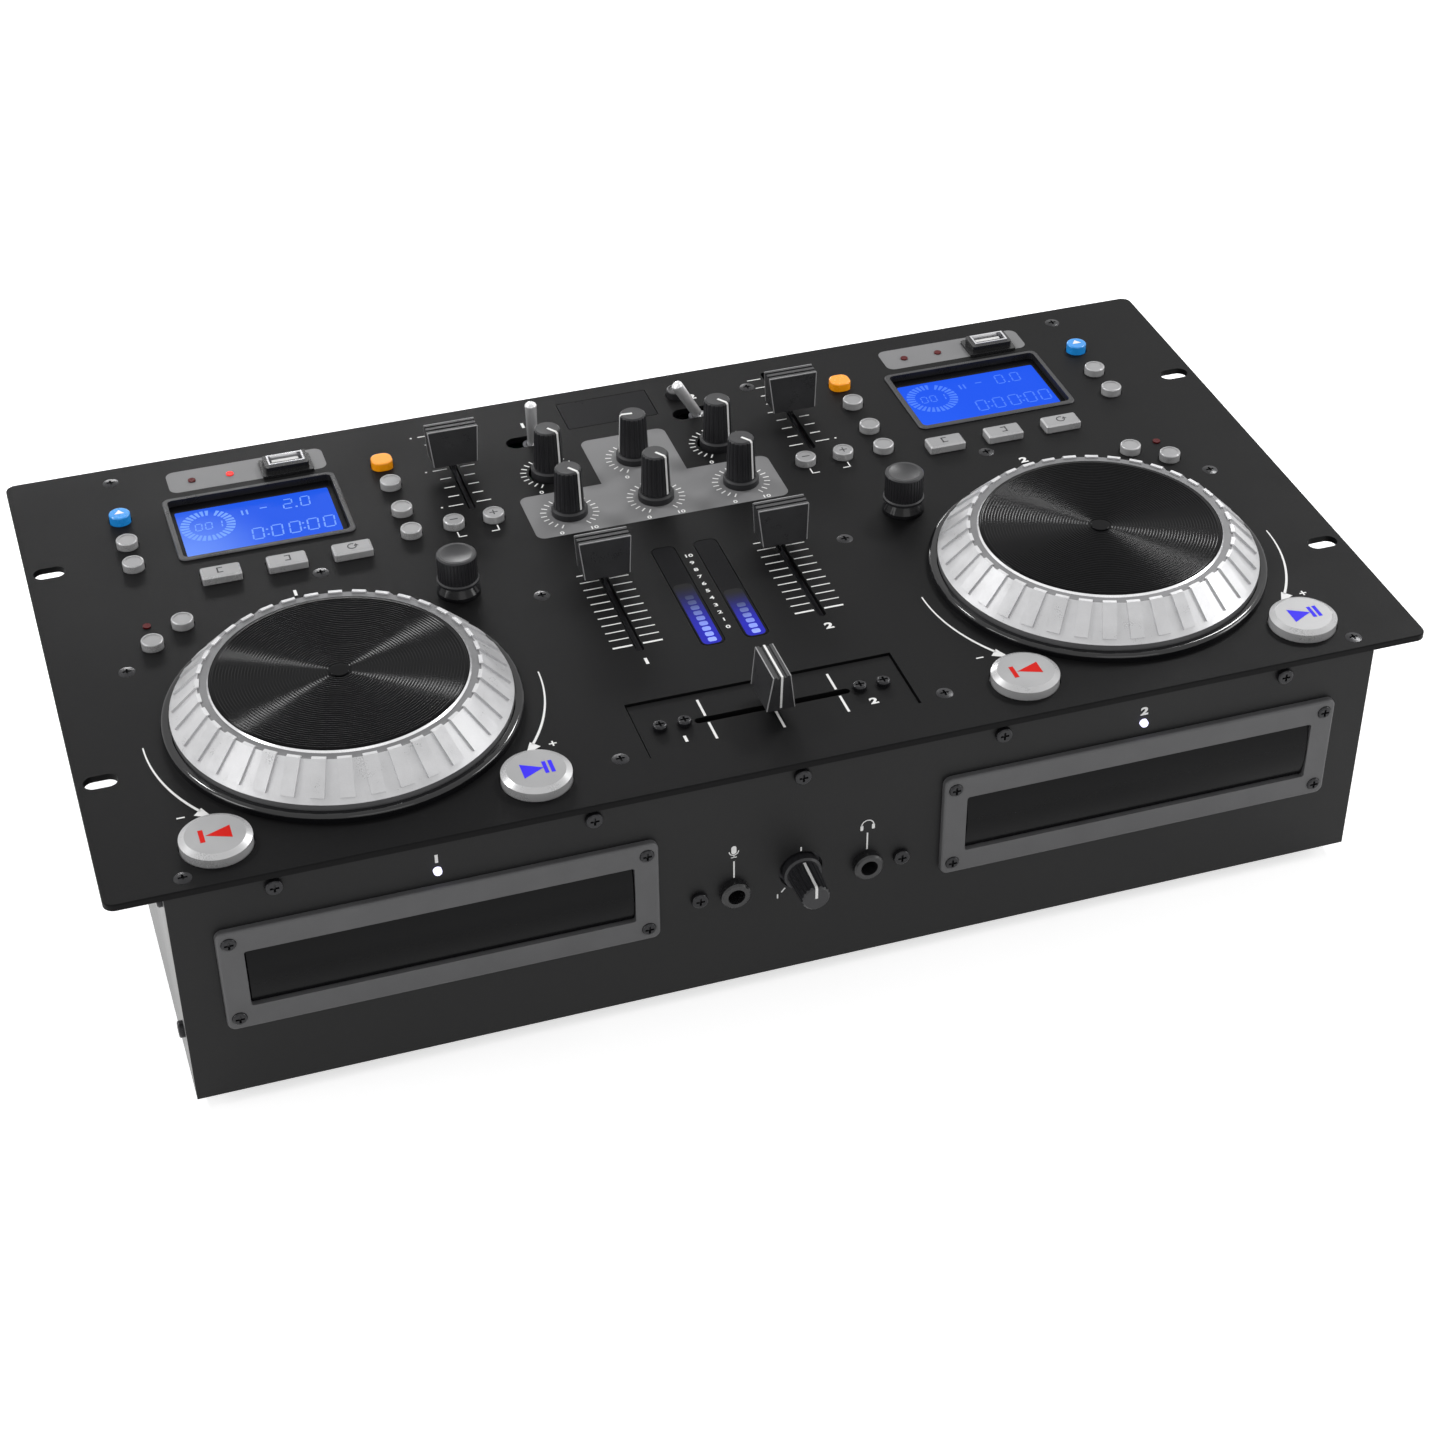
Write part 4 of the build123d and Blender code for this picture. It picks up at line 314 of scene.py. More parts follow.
class Marks:
    """Thin printed shapes gathered in one piece, drawn in millimetres on a plane."""

    def __init__(self, plane, thickness=INK, lift=0.0):
        self.plane = plane
        self.low = lift
        self.high = lift + thickness
        self.mesh = bmesh.new()

    def shape(self, outline):
        low = [self.mesh.verts.new(self.plane @ Vector((u, v, self.low))) for u, v in outline]
        high = [self.mesh.verts.new(self.plane @ Vector((u, v, self.high))) for u, v in outline]
        self.mesh.faces.new(high)
        self.mesh.faces.new(list(reversed(low)))
        for here in range(len(outline)):
            after = (here + 1) % len(outline)
            self.mesh.faces.new((low[here], low[after], high[after], high[here]))

    def line(self, start, end, width):
        run = Vector(end) - Vector(start)
        across = Vector((-run.y, run.x)).normalized() * width / 2
        self.shape([Vector(start) - across, Vector(end) - across,
                    Vector(end) + across, Vector(start) + across])

    def disc(self, center, radius, steps=24):
        self.shape([polar(radius, 360 * step / steps, center) for step in range(steps)])

    def arc(self, center, radius, start, end, width, end_width=None):
        """A band along an arc, whose width may change from its start to its end."""
        last = width if end_width is None else end_width
        outer = []
        inner = []
        for step in range(ARC_STEPS + 1):
            share = step / ARC_STEPS
            half = (width + (last - width) * share) / 2
            angle = start + (end - start) * share
            outer.append(polar(radius + half, angle, center))
            inner.append(polar(radius - half, angle, center))
        outline = outer + inner[::-1]
        self.shape(outline if end > start else outline[::-1])

    def text(self, words, center, height, stretch=1.3, weight=0.03):
        """Plain numerals or signs, centred, with digits of the given height."""
        digit_share = 0.70
        curve = bpy.data.curves.new("glyphs", "FONT")
        curve.body = words
        curve.size = height / digit_share
        curve.align_x = "CENTER"
        curve.align_y = "CENTER"
        curve.offset = weight * height
        curve.resolution_u = 4
        curve.extrude = (self.high - self.low) / 2
        holder = bpy.data.objects.new("glyphs", curve)
        bpy.context.scene.collection.objects.link(holder)
        ready = holder.evaluated_get(bpy.context.evaluated_depsgraph_get())
        glyphs = bpy.data.meshes.new_from_object(ready)
        place = (self.plane @ Matrix.Translation((center[0], center[1], (self.low + self.high) / 2))
                 @ Matrix.Diagonal((stretch, 1, 1, 1)))
        glyphs.transform(place)
        self.mesh.from_mesh(glyphs)
        bpy.data.objects.remove(holder)
        bpy.data.curves.remove(curve)
        bpy.data.meshes.remove(glyphs)

    def digit(self, figure, center, width, height, stroke):
        """A seven-segment figure made of bars."""
        bars = {"0": "abcdef", "1": "bc", "2": "abged"}[figure]
        half_w, half_h = width / 2, height / 2
        gap = stroke * 0.6
        ends = {"a": ((-half_w, half_h), (half_w, half_h)), "g": ((-half_w, 0), (half_w, 0)),
                "d": ((-half_w, -half_h), (half_w, -half_h)),
                "f": ((-half_w, half_h), (-half_w, 0)), "b": ((half_w, half_h), (half_w, 0)),
                "e": ((-half_w, 0), (-half_w, -half_h)), "c": ((half_w, 0), (half_w, -half_h))}
        for bar in bars:
            start, end = (Vector(point) for point in ends[bar])
            along = (end - start).normalized() * gap
            start, end = start + along, end - along
            start.x += start.y * DIGIT_LEAN + center[0]
            end.x += end.y * DIGIT_LEAN + center[0]
            start.y += center[1]
            end.y += center[1]
            self.line(start, end, stroke)

    def piece(self, name, material, slot, body="chassis"):
        return finish_mesh(self.mesh, name, material, body)


def turn_profile(mesh, profile, plane, center, steps):
    """Adds a ring turned from a closed loop of (radius, height) points about a plane's normal."""
    rings = []
    for radius, height in profile:
        ring = []
        for step in range(steps):
            u, v = polar(radius, 360 * step / steps, center)
            ring.append(mesh.verts.new(plane @ Vector((u, v, height))))
        rings.append(ring)
    for lower, upper in zip(rings, rings[1:] + rings[:1]):
        for here in range(steps):
            after = (here + 1) % steps
            mesh.faces.new((lower[here], lower[after], upper[after], upper[here]))


def skin_rows(mesh, rows):
    """Closes a band along rows of four corners: two sunk ones and, over them, two proud ones."""
    for near, far in zip(rows, rows[1:]):
        for a, b in ((0, 1), (1, 3), (3, 2), (2, 0)):
            mesh.faces.new((near[a], near[b], far[b], far[a]))
    mesh.faces.new(rows[0][i] for i in (0, 1, 3, 2))
    mesh.faces.new(rows[-1][i] for i in (2, 3, 1, 0))


# ---------------------------------------------------------------- finishes of the CAD nodes
def dress(node, *materials, pick=None):
    """Gives a node its materials; pick returns the slot of a face from its centre and normal."""
    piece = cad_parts[node]
    piece.data.materials.clear()
    for material in materials:
        piece.data.materials.append(material)
    for face in piece.data.polygons:
        face.material_index = pick(face.center / MM, face.normal) if pick else 0


EDGE_ANGLE = 35


def soften(node, width):
    """Rounds the sharp edges of a node a little; they take its second material, a paler one that
    paints a highlight on them.
    """
    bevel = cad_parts[node].modifiers.new("edge_round", "BEVEL")
    bevel.width = width * MM
    bevel.segments = 2
    bevel.limit_method = "ANGLE"
    bevel.angle_limit = math.radians(EDGE_ANGLE)
    bevel.material = 1


dress("top_panel", POWDER)
dress("crossfader_plate", POWDER)
dress("base_pan", SIDE_POWDER)
dress("front_panel", CASE_POWDER)
dress("rear_panel", CASE_POWDER)
dress("feet", RUBBER)
dress("case_screws", SCREW)
# the bezels' rounded edges take the paler plastic, a painted highlight
dress("drive_bezels", BEZEL, BEZEL_EDGE_HIGHLIGHT)
soften("drive_bezels", 0.5)
dress("panel_windows", WINDOW)
dress("display_screens", SCREEN)
dress("jog_bases", GLOSS_BLACK)
dress("disc_loaders", LOADER)
dress("circuit_boards", BOARD)
dress("control_housings", HOUSING)
dress("power_supply", SUPPLY)
dress("front_jacks", SOCKET_BLACK)
dress("power_rocker", GLOSS_BLACK)
dress("sync_key", KEY_DARK)
# the crossfader cap's rounded edges take the pale grey, a painted highlight
dress("crossfader_cap", FADER, FADER_EDGE_HIGHLIGHT)
soften("crossfader_cap", 0.45)

# the sloping faces of the display frames' rims are paler: a painted highlight
dress("display_frames", DISPLAY_FRAME, DISPLAY_EDGE_HIGHLIGHT,
      pick=lambda at, normal: 1 if at.z > PANEL_TOP + 0.2 and 0.2 < normal.z < 0.95 else 0)

USB_MIDDLE = middle("usb_sockets")
USB_XS = [side * DISPLAY_X + USB_MIDDLE.x for side in SIDES.values()]
USB_TONGUE_TOP = corners("usb_sockets")[1].z - 0.3
USB_TONGUE_HALF, USB_TONGUE_WIDTH = 5.4, 1.9
USB_SHELL_HALF_LENGTH, USB_SHELL_HALF_WIDTH, USB_SHELL_INSIDE = 7.25, 3.55, 6.55
USB_BOSS_HEIGHT = 3.61


def usb_part(at, normal):
    """Slot 2 for the white tongue, 1 for the steel shell round it, 0 for the housing."""
    off_x = min(abs(at.x - x) for x in USB_XS)
    off_y = at.y - USB_MIDDLE.y
    if off_x < USB_TONGUE_HALF and 0 < off_y < USB_TONGUE_WIDTH and at.z < USB_TONGUE_TOP:
        return 2
    in_shell = off_x < USB_SHELL_HALF_LENGTH and abs(off_y) < USB_SHELL_HALF_WIDTH
    above_boss = at.z > PANEL_TOP + USB_BOSS_HEIGHT
    return 1 if in_shell and (above_boss or off_x < USB_SHELL_INSIDE) else 0


dress("usb_sockets", SOCKET_BLACK, STEEL, SOCKET_WHITE, pick=usb_part)

FRONT_LAMP_REACH = 10.0
LIT_LAMP_LEFT, LIT_LAMP_RIGHT, LAMP_ROW = -162.0, -150.0, 100.0


def lamp_part(at, normal):
    """Slot 2 for the lamps over the drawers, 1 for the lit lamp by the left USB socket."""
    if at.y < FRONT_FACE + FRONT_LAMP_REACH:
        return 2
    return 1 if LIT_LAMP_LEFT < at.x < LIT_LAMP_RIGHT and at.y > LAMP_ROW else 0


dress("indicator_lamps", LAMP_DARK, LAMP_RED, LAMP_VIOLET, pick=lamp_part)

INLET_X, INLET_Z = 178.0, 42.0
BLADE_REACH_X, BLADE_REACH_Z, BLADE_LENGTH = 8.6, 4.2, 12.5


def rear_part(at, normal):
    """Slot 1 for the phono barrels and the sides of the inlet's blades, 0 for the mouldings."""
    if at.x < 0:
        return 1 if at.y > REAR_FACE + 0.3 else 0
    by_blades = abs(at.x - INLET_X) < BLADE_REACH_X and abs(at.z - INLET_Z) < BLADE_REACH_Z
    in_depth = REAR_FACE - BLADE_LENGTH < at.y < REAR_FACE + 0.5
    return 1 if by_blades and in_depth and abs(normal.y) < 0.99 else 0


dress("rear_sockets", SOCKET_BLACK, STEEL, pick=rear_part)

# radii and heights over the faceplate at which a jog wheel changes its material; the darker shoulder
# and band are painted shade
PLATE_REACH, PLATE_LEVEL = 45.55, 14.2
BEAD_REACH, BEAD_LEVEL = 46.3, 16.25
BAND_REACH, BAND_LEVEL = 60.3, 5.3
SHOULDER_REACH, SHOULDER_LEVEL = 49.45, 16.35


def wheel_part(center):
    """Slots of a jog wheel: 1 inset plate, 2 shoulder and band in darker silver (painted shade), 3
    bead, 0 cone.
    """
    def part(at, normal):
        reach = math.hypot(at.x - center.x, at.y - center.y)
        height = at.z - PANEL_TOP
        if reach < PLATE_REACH and height > PLATE_LEVEL:
            return 1
        if reach < BEAD_REACH and height > BEAD_LEVEL:
            return 3
        if reach > BAND_REACH and height < BAND_LEVEL:
            return 2
        on_shoulder = reach < SHOULDER_REACH and height < SHOULDER_LEVEL and normal.z > 0.9
        return 2 if on_shoulder else 0

    return part


def flat_top(least_rise):
    """Slot 0 for the top of a key, whose faces look up, and 1 for its rim and sides, which take a
    paler material as a painted highlight.
    """
    return lambda at, normal: 0 if normal.z > least_rise else 1


FADER_LEVER_TOP = 4.4
COLLAR_TOP = 4.3
DOOR_DEPTH = 3.0
for deck in SIDES:
    # the jog wheel's flat shoulder and its lower band are darker, painted shade
    dress(f"jog_wheel_{deck}", SILVER, DISC_BLACK, JOG_PAINTED_SHADE, BRIGHT_RING,
          pick=wheel_part(JOG[deck]))
    # the fader caps' rounded edges take the pale grey, a painted highlight
    for cap in ("channel_fader_cap", "pitch_fader_cap"):
        dress(f"{cap}_{deck}", FADER, FADER_EDGE_HIGHLIGHT, STEEL,
              pick=lambda at, normal: 2 if at.z < PANEL_TOP + FADER_LEVER_TOP else 0)
        soften(f"{cap}_{deck}", 0.5)
    dress(f"source_lever_{deck}", CHROME)
    dress(f"disc_tray_{deck}", TRAY, DOOR,
          pick=lambda at, normal: 1 if at.y < FRONT_FACE + DOOR_DEPTH else 0)
    dress(f"turntable_{deck}", KEY_DARK)
    dress(f"eject_key_{deck}", KEY_BLUE)
    dress(f"pitch_key_{deck}", KEY_ORANGE)
    # the keys' rims and sides are paler, a painted highlight
    for group in ("loop_keys", "mode_keys", "time_keys", "bend_keys"):
        dress(f"{group}_{deck}", KEY_SILVER, KEY_RIM_HIGHLIGHT, pick=flat_top(0.9))
    for key in ("play_key", "cue_key"):
        dress(f"{key}_{deck}", BIG_KEY, KEY_RIM_HIGHLIGHT, pick=flat_top(0.98))
    dress(f"search_knob_{deck}", SEARCH, COLLAR,
          pick=lambda at, normal: 1 if at.z < PANEL_TOP + COLLAR_TOP else 0)

KNOBS = ("mic_knob", "master_knob", "cue_level_knob", "low_knob", "mid_knob", "high_knob")
for node in KNOBS + ("cue_mix_knob",):
    dress(node, KNOB)

# ---------------------------------------------------------------- grooved jog discs
GROOVE_PITCH = 1.12
GROOVE_DEPTH = 0.24
GROOVE_STEPS = 8
GROOVE_INNER = 4.2
GROOVE_COUNT = 36
GROOVE_OUTER = GROOVE_INNER + GROOVE_COUNT * GROOVE_PITCH + 0.6
DISC_LIFT = 0.04
DISC_STEPS = 144
JOG_CAP_HEIGHT = 0.5
JOG_PLATE_TOP = corners("jog_wheel_a")[1].z - JOG_CAP_HEIGHT
groove_profile = []
for step in range(GROOVE_COUNT * GROOVE_STEPS + 1):
    along = step / GROOVE_STEPS
    wave = 0.5 - 0.5 * math.cos(2 * math.pi * along)
    groove_profile.append((GROOVE_INNER + along * GROOVE_PITCH, DISC_LIFT + GROOVE_DEPTH * wave))
groove_profile.append((GROOVE_OUTER, DISC_LIFT + GROOVE_DEPTH * 0.4))
groove_profile.append((GROOVE_OUTER, 0.0))
groove_profile.append((GROOVE_INNER, 0.0))
for deck in SIDES:
    grooves = bmesh.new()
    turn_profile(grooves, groove_profile, top_plane(JOG_PLATE_TOP), JOG[deck].xy, DISC_STEPS)
    finish_mesh(grooves, f"jog_grooves_{deck}", DISC_BLACK, f"jog_wheel_{deck}",
                smooth=True)

# ---------------------------------------------------------------- grey printed fields
STRIP_SHIFT, STRIP_Y = 1.6, 114.6
STRIP_LENGTH, STRIP_WIDTH, STRIP_ROUND = 62.6, 15.4, 3.4
T_LEFT, T_RIGHT, T_LOW, T_HIGH = -51.6, 50.6, 29.9, 60.4
T_STEM, T_TOP, T_ROUND = 17.6, 93.4, 3.5
grey = Marks(top_plane(PANEL_TOP), GREY_INK)
for side in SIDES.values():
    strip_center = (side * DISPLAY_X + STRIP_SHIFT, STRIP_Y)
    grey.shape(rounded_box(strip_center, STRIP_LENGTH, STRIP_WIDTH, STRIP_ROUND))
# an upside-down T under the mixer's knobs
grey.shape(quarter_round((T_RIGHT - T_ROUND, T_LOW + T_ROUND), T_ROUND, -90)
           + quarter_round((T_RIGHT - T_ROUND, T_HIGH - T_ROUND), T_ROUND, 0)
           + [(T_STEM, T_HIGH)]
           + quarter_round((T_STEM - T_ROUND, T_TOP - T_ROUND), T_ROUND, 0)
           + quarter_round((T_ROUND - T_STEM, T_TOP - T_ROUND), T_ROUND, 90)
           + [(-T_STEM, T_HIGH)]
           + quarter_round((T_LEFT + T_ROUND, T_HIGH - T_ROUND), T_ROUND, 90)
           + quarter_round((T_LEFT + T_ROUND, T_LOW + T_ROUND), T_ROUND, 180))
grey.piece("grey_fields", GREY_PRINT, "faceplate_paint")

# ---------------------------------------------------------------- white marks on the faceplate
FINE_LINE, TICK_LINE, THICK_LINE = 0.5, 0.55, 0.9
SMALL_NUMERAL, MIDDLE_NUMERAL, LARGE_NUMERAL, BOLD = 1.9, 3.2, 3.4, 0.06
TICK_COUNT, TICK_STEP, TICK_FIRST = 21, 15, -60
TICK_INNER, TICK_OUTER = 9.1, 11.5
white = Marks(top_plane(PANEL_TOP))
for node in KNOBS:
    at = middle(node)
    for index in range(TICK_COUNT):
        angle = TICK_FIRST + TICK_STEP * index
        white.line(polar(TICK_INNER, angle, at.xy), polar(TICK_OUTER, angle, at.xy), TICK_LINE)
    white.text("0", (at.x - 6.6, at.y - 13.2), SMALL_NUMERAL)
    white.text("10", (at.x + 6.2, at.y - 13.2), SMALL_NUMERAL)

PITCH_TICKS, PITCH_LONG_TICKS = 9, (0, 4, 8)
PITCH_FIRST, PITCH_STEP = 63.6, 6.725
LEVEL_COUNT, LEVEL_TOP, LEVEL_STEP = 11, 1.2, 4.89
# below the channel faders, behind the jog wheels and behind the source levers
DECK_NUMERAL_SPOTS = ((35.0, -58.9), (147.0, 24.0), (36.0, 112.6))
ARC_RADIUS, ARC_SWEEP = 71.0, 35
HINT_LINE, HINT_REACH = 0.6, 1.4
for deck, side in SIDES.items():
    # pitch fader: pairs of ticks, the ends and the middle longer, with dots beside those
    for index in range(PITCH_TICKS):
        y = PITCH_FIRST + PITCH_STEP * index
        reach = 8.5 if index in PITCH_LONG_TICKS else 7.0
        for way in (-1, 1):
            white.line((side * PITCH_X + way * 2.7, y), (side * PITCH_X + way * reach, y),
                       FINE_LINE)
        if index in PITCH_LONG_TICKS:
            white.disc((side * (PITCH_X + 11.2), y), 0.45, 12)
    # channel fader: pairs of ticks, the lowest thicker
    for index in range(LEVEL_COUNT):
        y = LEVEL_TOP - LEVEL_STEP * index
        width = THICK_LINE if index == LEVEL_COUNT - 1 else FINE_LINE
        for way in (-1, 1):
            white.line((side * CHANNEL_X + way * 2.0, y), (side * CHANNEL_X + way * 9.5, y), width)
    for x, y in DECK_NUMERAL_SPOTS:
        white.text(DECK_NUMERALS[deck], (side * x, y), LARGE_NUMERAL, weight=BOLD)
    # brackets under the bend keys
    for x, way in zip(BEND_XS, (1, -1)):
        foot = BEND_Y - 8.7
        white.line((side * x, foot + 3.5), (side * x, foot - 0.2), FINE_LINE)
        white.line((side * x, foot), (side * (x + way * 3.0), foot), FINE_LINE)
    # turning arcs beside the jog wheel, with arrowheads at their lower ends, a minus sign by
    # the left one and a plus sign by the right one
    jog = JOG[deck].xy
    for start, way in ((0, -1), (180, 1)):
        end = start + way * ARC_SWEEP
        white.arc(jog, ARC_RADIUS, start, end, FINE_LINE, 2 * FINE_LINE)
        tip = polar(ARC_RADIUS, end + way * 5.0, jog)
        wing_in = polar(ARC_RADIUS - 1.4, end - way * 0.6, jog)
        wing_out = polar(ARC_RADIUS + 3.0, end + way * 0.2, jog)
        white.shape([tip, wing_out, wing_in] if way > 0 else [tip, wing_in, wing_out])
        hint = Vector(tip) + Vector((-way * 10.5, 3.2))
        across = Vector((HINT_REACH, 0))
        white.line(hint - across, hint + across, HINT_LINE)
        if way < 0:
            for rise in (-1, 1):
                white.line(hint + Vector((0, 0.3 * rise)), hint + Vector((0, HINT_REACH * rise)),
                           HINT_LINE)

# level numerals between the meters
for index in range(LEVEL_COUNT):
    white.text(str(10 - index), (-0.35, LEVEL_TOP - LEVEL_STEP * index), SMALL_NUMERAL,
               stretch=1.35)
white.piece("panel_marks", WHITE_INK, "faceplate_paint")

# ticks and numerals on the crossfader's plate
CROSS_TRAVEL = 49.0
cross = Marks(top_plane(PLATE_TOP))
for x in (-CROSS_TRAVEL / 2, CROSS_TRAVEL / 2):
    for way in (1, -1):
        cross.line((x, CROSS_Y + way * 2.0), (x, CROSS_Y + way * 11.8), THICK_LINE)
cross.line((0, CROSS_Y - 3.4), (0, CROSS_Y - 13.2), THICK_LINE)
for deck, side in SIDES.items():
    cross.text(DECK_NUMERALS[deck], (side * 35.0, CROSS_Y - 8.7), MIDDLE_NUMERAL, weight=BOLD)
cross.piece("crossfader_marks", WHITE_INK, "plate_paint")

# ---------------------------------------------------------------- marks on the front
SIGN_LINE = 0.35
front = Marks(front_plane(FRONT_FACE))
jack_z = middle("front_jacks").z
for deck, side in SIDES.items():
    front.line((side * JACK_X, jack_z + 6.6), (side * JACK_X, jack_z + 14.2), TICK_LINE)
    front.text(DECK_NUMERALS[deck], (side * 130.6, 91.0), MIDDLE_NUMERAL, weight=BOLD)
# microphone sign: capsule, cradle, stem and foot
mic_x, mic_z = -JACK_X, jack_z + 18.6
front.shape(rounded_box((mic_x, mic_z + 0.7), 1.9, 3.6, 0.94))
front.arc((mic_x, mic_z + 0.2), 1.75, 180, 360, SIGN_LINE)
front.line((mic_x, mic_z - 1.6), (mic_x, mic_z - 2.6), SIGN_LINE)
front.line((mic_x - 1.1, mic_z - 2.6), (mic_x + 1.1, mic_z - 2.6), SIGN_LINE)
# headphone sign: band and two cups
phones_x, phones_z = JACK_X, jack_z + 17.6
front.arc((phones_x, phones_z), 2.3, 0, 180, 0.4)
for side in (-1, 1):
    front.shape(rounded_box((phones_x + side * 2.2, phones_z - 0.9), 1.1, 2.2, 0.3))
# a tick over the front knob, and a tick and a numeral at each end of its turn
knob_axis = (0.0, FRONT_KNOB_Z)
front.line((0, FRONT_KNOB_Z + 8.6), (0, FRONT_KNOB_Z + 10.4), TICK_LINE)
for angle, numeral in ((230, "1"), (310, "2")):
    front.line(polar(9.2, angle, knob_axis), polar(11.4, angle, knob_axis), TICK_LINE)
    front.text(numeral, polar(13.6, angle, knob_axis), SMALL_NUMERAL)
front.piece("front_marks", WHITE_INK, "case_paint")

# ---------------------------------------------------------------- pointers on the knobs
POINTER_START, POINTER_EDGE = 0.2, 4.5
POINTER_SHOULDER, POINTER_ROUND = 5.22, 0.7
POINTER_FOOT, POINTER_FOOT_HEIGHT = 5.88, 3.5
POINTER_HALF_WIDTH = 0.5
MASTER_AZIMUTH, KNOB_AZIMUTH, FRONT_AZIMUTH = 174, -55, 90


def pointer(node, azimuth, origin, up, tip_height):
    """A white line from the middle of a knob's top over its edge and down its side."""
    shoulder = Vector((POINTER_SHOULDER, tip_height - POINTER_ROUND))
    foot = Vector((POINTER_FOOT, POINTER_FOOT_HEIGHT))
    down = (foot - shoulder).normalized()
    side_out = Vector((-down.y, down.x))
    path = [(Vector((POINTER_START, tip_height)), Vector((0.0, 1.0))),
            (Vector((POINTER_EDGE, tip_height)), Vector((0.4, 1.0))),
            (shoulder, side_out), (foot, side_out)]
    turn = Matrix.Rotation(math.radians(azimuth), 4, "Z")
    place = Matrix.Translation(origin * MM) @ up @ turn @ Matrix.Scale(MM, 4)
    mesh = bmesh.new()
    rows = []
    for point, out in path:
        row = []
        for lift in (-SKIN, SKIN):
            for across in (-POINTER_HALF_WIDTH, POINTER_HALF_WIDTH):
                reach, height = point + out * lift
                row.append(mesh.verts.new(place @ Vector((reach, across, height))))
        rows.append(row)
    skin_rows(mesh, rows)
    finish_mesh(mesh, f"{node}_pointer", WHITE_INK, node)


for node in KNOBS:
    at = middle(node)
    azimuth = MASTER_AZIMUTH if node == "master_knob" else KNOB_AZIMUTH
    knob_height = corners(node)[1].z - PANEL_TOP
    pointer(node, azimuth, Vector((at.x, at.y, PANEL_TOP)), Matrix.Identity(4), knob_height)
facing_front = Matrix(((1, 0, 0, 0), (0, 0, -1, 0), (0, 1, 0, 0), (0, 0, 0, 1)))
front_knob_length = FRONT_FACE - corners("cue_mix_knob")[0].y
pointer("cue_mix_knob", FRONT_AZIMUTH, Vector((0, FRONT_FACE, FRONT_KNOB_Z)), facing_front,
        front_knob_length)


# ---------------------------------------------------------------- marks on the keys
def key_sign(node, dish=0.0):
    """Marks for the top of a key, which may be dished, and the key's middle."""
    return Marks(top_plane(corners(node)[1].z - dish)), middle(node)


BEND_DISH = 0.25
LOOP_SIGN_Y = LOOP_Y + 0.25
for deck, side in SIDES.items():
    # play and pause sign
    sign, at = key_sign(f"play_key_{deck}")
    sign.shape([(at.x - 5.1, at.y - 4.0), (at.x + 2.6, at.y), (at.x - 5.1, at.y + 4.0)])
    for x in (at.x + 2.5, at.x + 4.7):
        sign.shape([(x, at.y - 3.3), (x + 1.4, at.y - 3.3), (x + 1.4, at.y + 3.3),
                    (x, at.y + 3.3)])
    sign.piece(f"play_sign_{deck}", VIOLET_INK, "key_silver", f"play_key_{deck}")
    # skip sign on the cue key
    sign, at = key_sign(f"cue_key_{deck}")
    sign.shape([(at.x + 5.4, at.y - 3.3), (at.x + 5.4, at.y + 3.3), (at.x - 3.2, at.y)])
    sign.shape([(at.x - 5.4, at.y - 3.3), (at.x - 3.7, at.y - 3.3), (at.x - 3.7, at.y + 3.3),
                (at.x - 5.4, at.y + 3.3)])
    sign.piece(f"cue_sign_{deck}", RED_INK, "key_silver", f"cue_key_{deck}")
    # eject sign
    sign, at = key_sign(f"eject_key_{deck}")
    sign.shape([(at.x - 1.9, at.y - 0.5), (at.x + 1.9, at.y - 0.5), (at.x, at.y + 2.2)])
    sign.piece(f"eject_sign_{deck}", WHITE_INK, "key_blue", f"eject_key_{deck}")
    # minus on the left bend key and plus on the right one
    sign, at = key_sign(f"bend_keys_{deck}", BEND_DISH)
    minus_x, plus_x = sorted(side * x for x in BEND_XS)
    for x in (minus_x, plus_x):
        sign.line((x - 1.6, at.y), (x + 1.6, at.y), FINE_LINE)
    for way in (-1, 1):
        sign.line((plus_x, at.y + way * 0.25), (plus_x, at.y + way * 1.6), FINE_LINE)
    sign.piece(f"bend_signs_{deck}", DARK_INK, "key_silver", f"bend_keys_{deck}")
    # loop-in, loop-out and loop-again signs
    sign = key_sign(f"loop_keys_{deck}")[0]
    in_x, out_x, again_x = sorted(side * x for x in LOOP_XS)
    for x, way in ((in_x, 1), (out_x, -1)):
        edge = x - way * 1.2
        sign.line((edge, LOOP_SIGN_Y - 1.7), (edge, LOOP_SIGN_Y + 1.7), 0.6)
        for y in (LOOP_SIGN_Y - 1.5, LOOP_SIGN_Y + 1.5):
            sign.line((edge - 0.3 * way, y), (edge + 2.0 * way, y), FINE_LINE)
    sign.arc((again_x, LOOP_SIGN_Y), 1.6, 60, 350, FINE_LINE)
    sign.shape([(again_x + 2.6, LOOP_SIGN_Y - 0.1), (again_x + 1.6, LOOP_SIGN_Y + 1.4),
                (again_x + 0.7, LOOP_SIGN_Y - 0.1)])
    sign.piece(f"loop_signs_{deck}", DARK_INK, "key_silver", f"loop_keys_{deck}")

# ---------------------------------------------------------------- marks and painted edge highlights on the fader caps
CAP_HEIGHT = 15.1
CAP_TOP_LENGTH, CAP_TOP_WIDTH = 20.0, 6.3
CAP_FOOT_LENGTH, CAP_FOOT_WIDTH = 17.4, 10.3
CAP_LINE_HALF, CAP_LINE_SUNK, CAP_LINE_PROUD = 0.4, -0.3, 0.1
HIGHLIGHT_HALF = 0.24

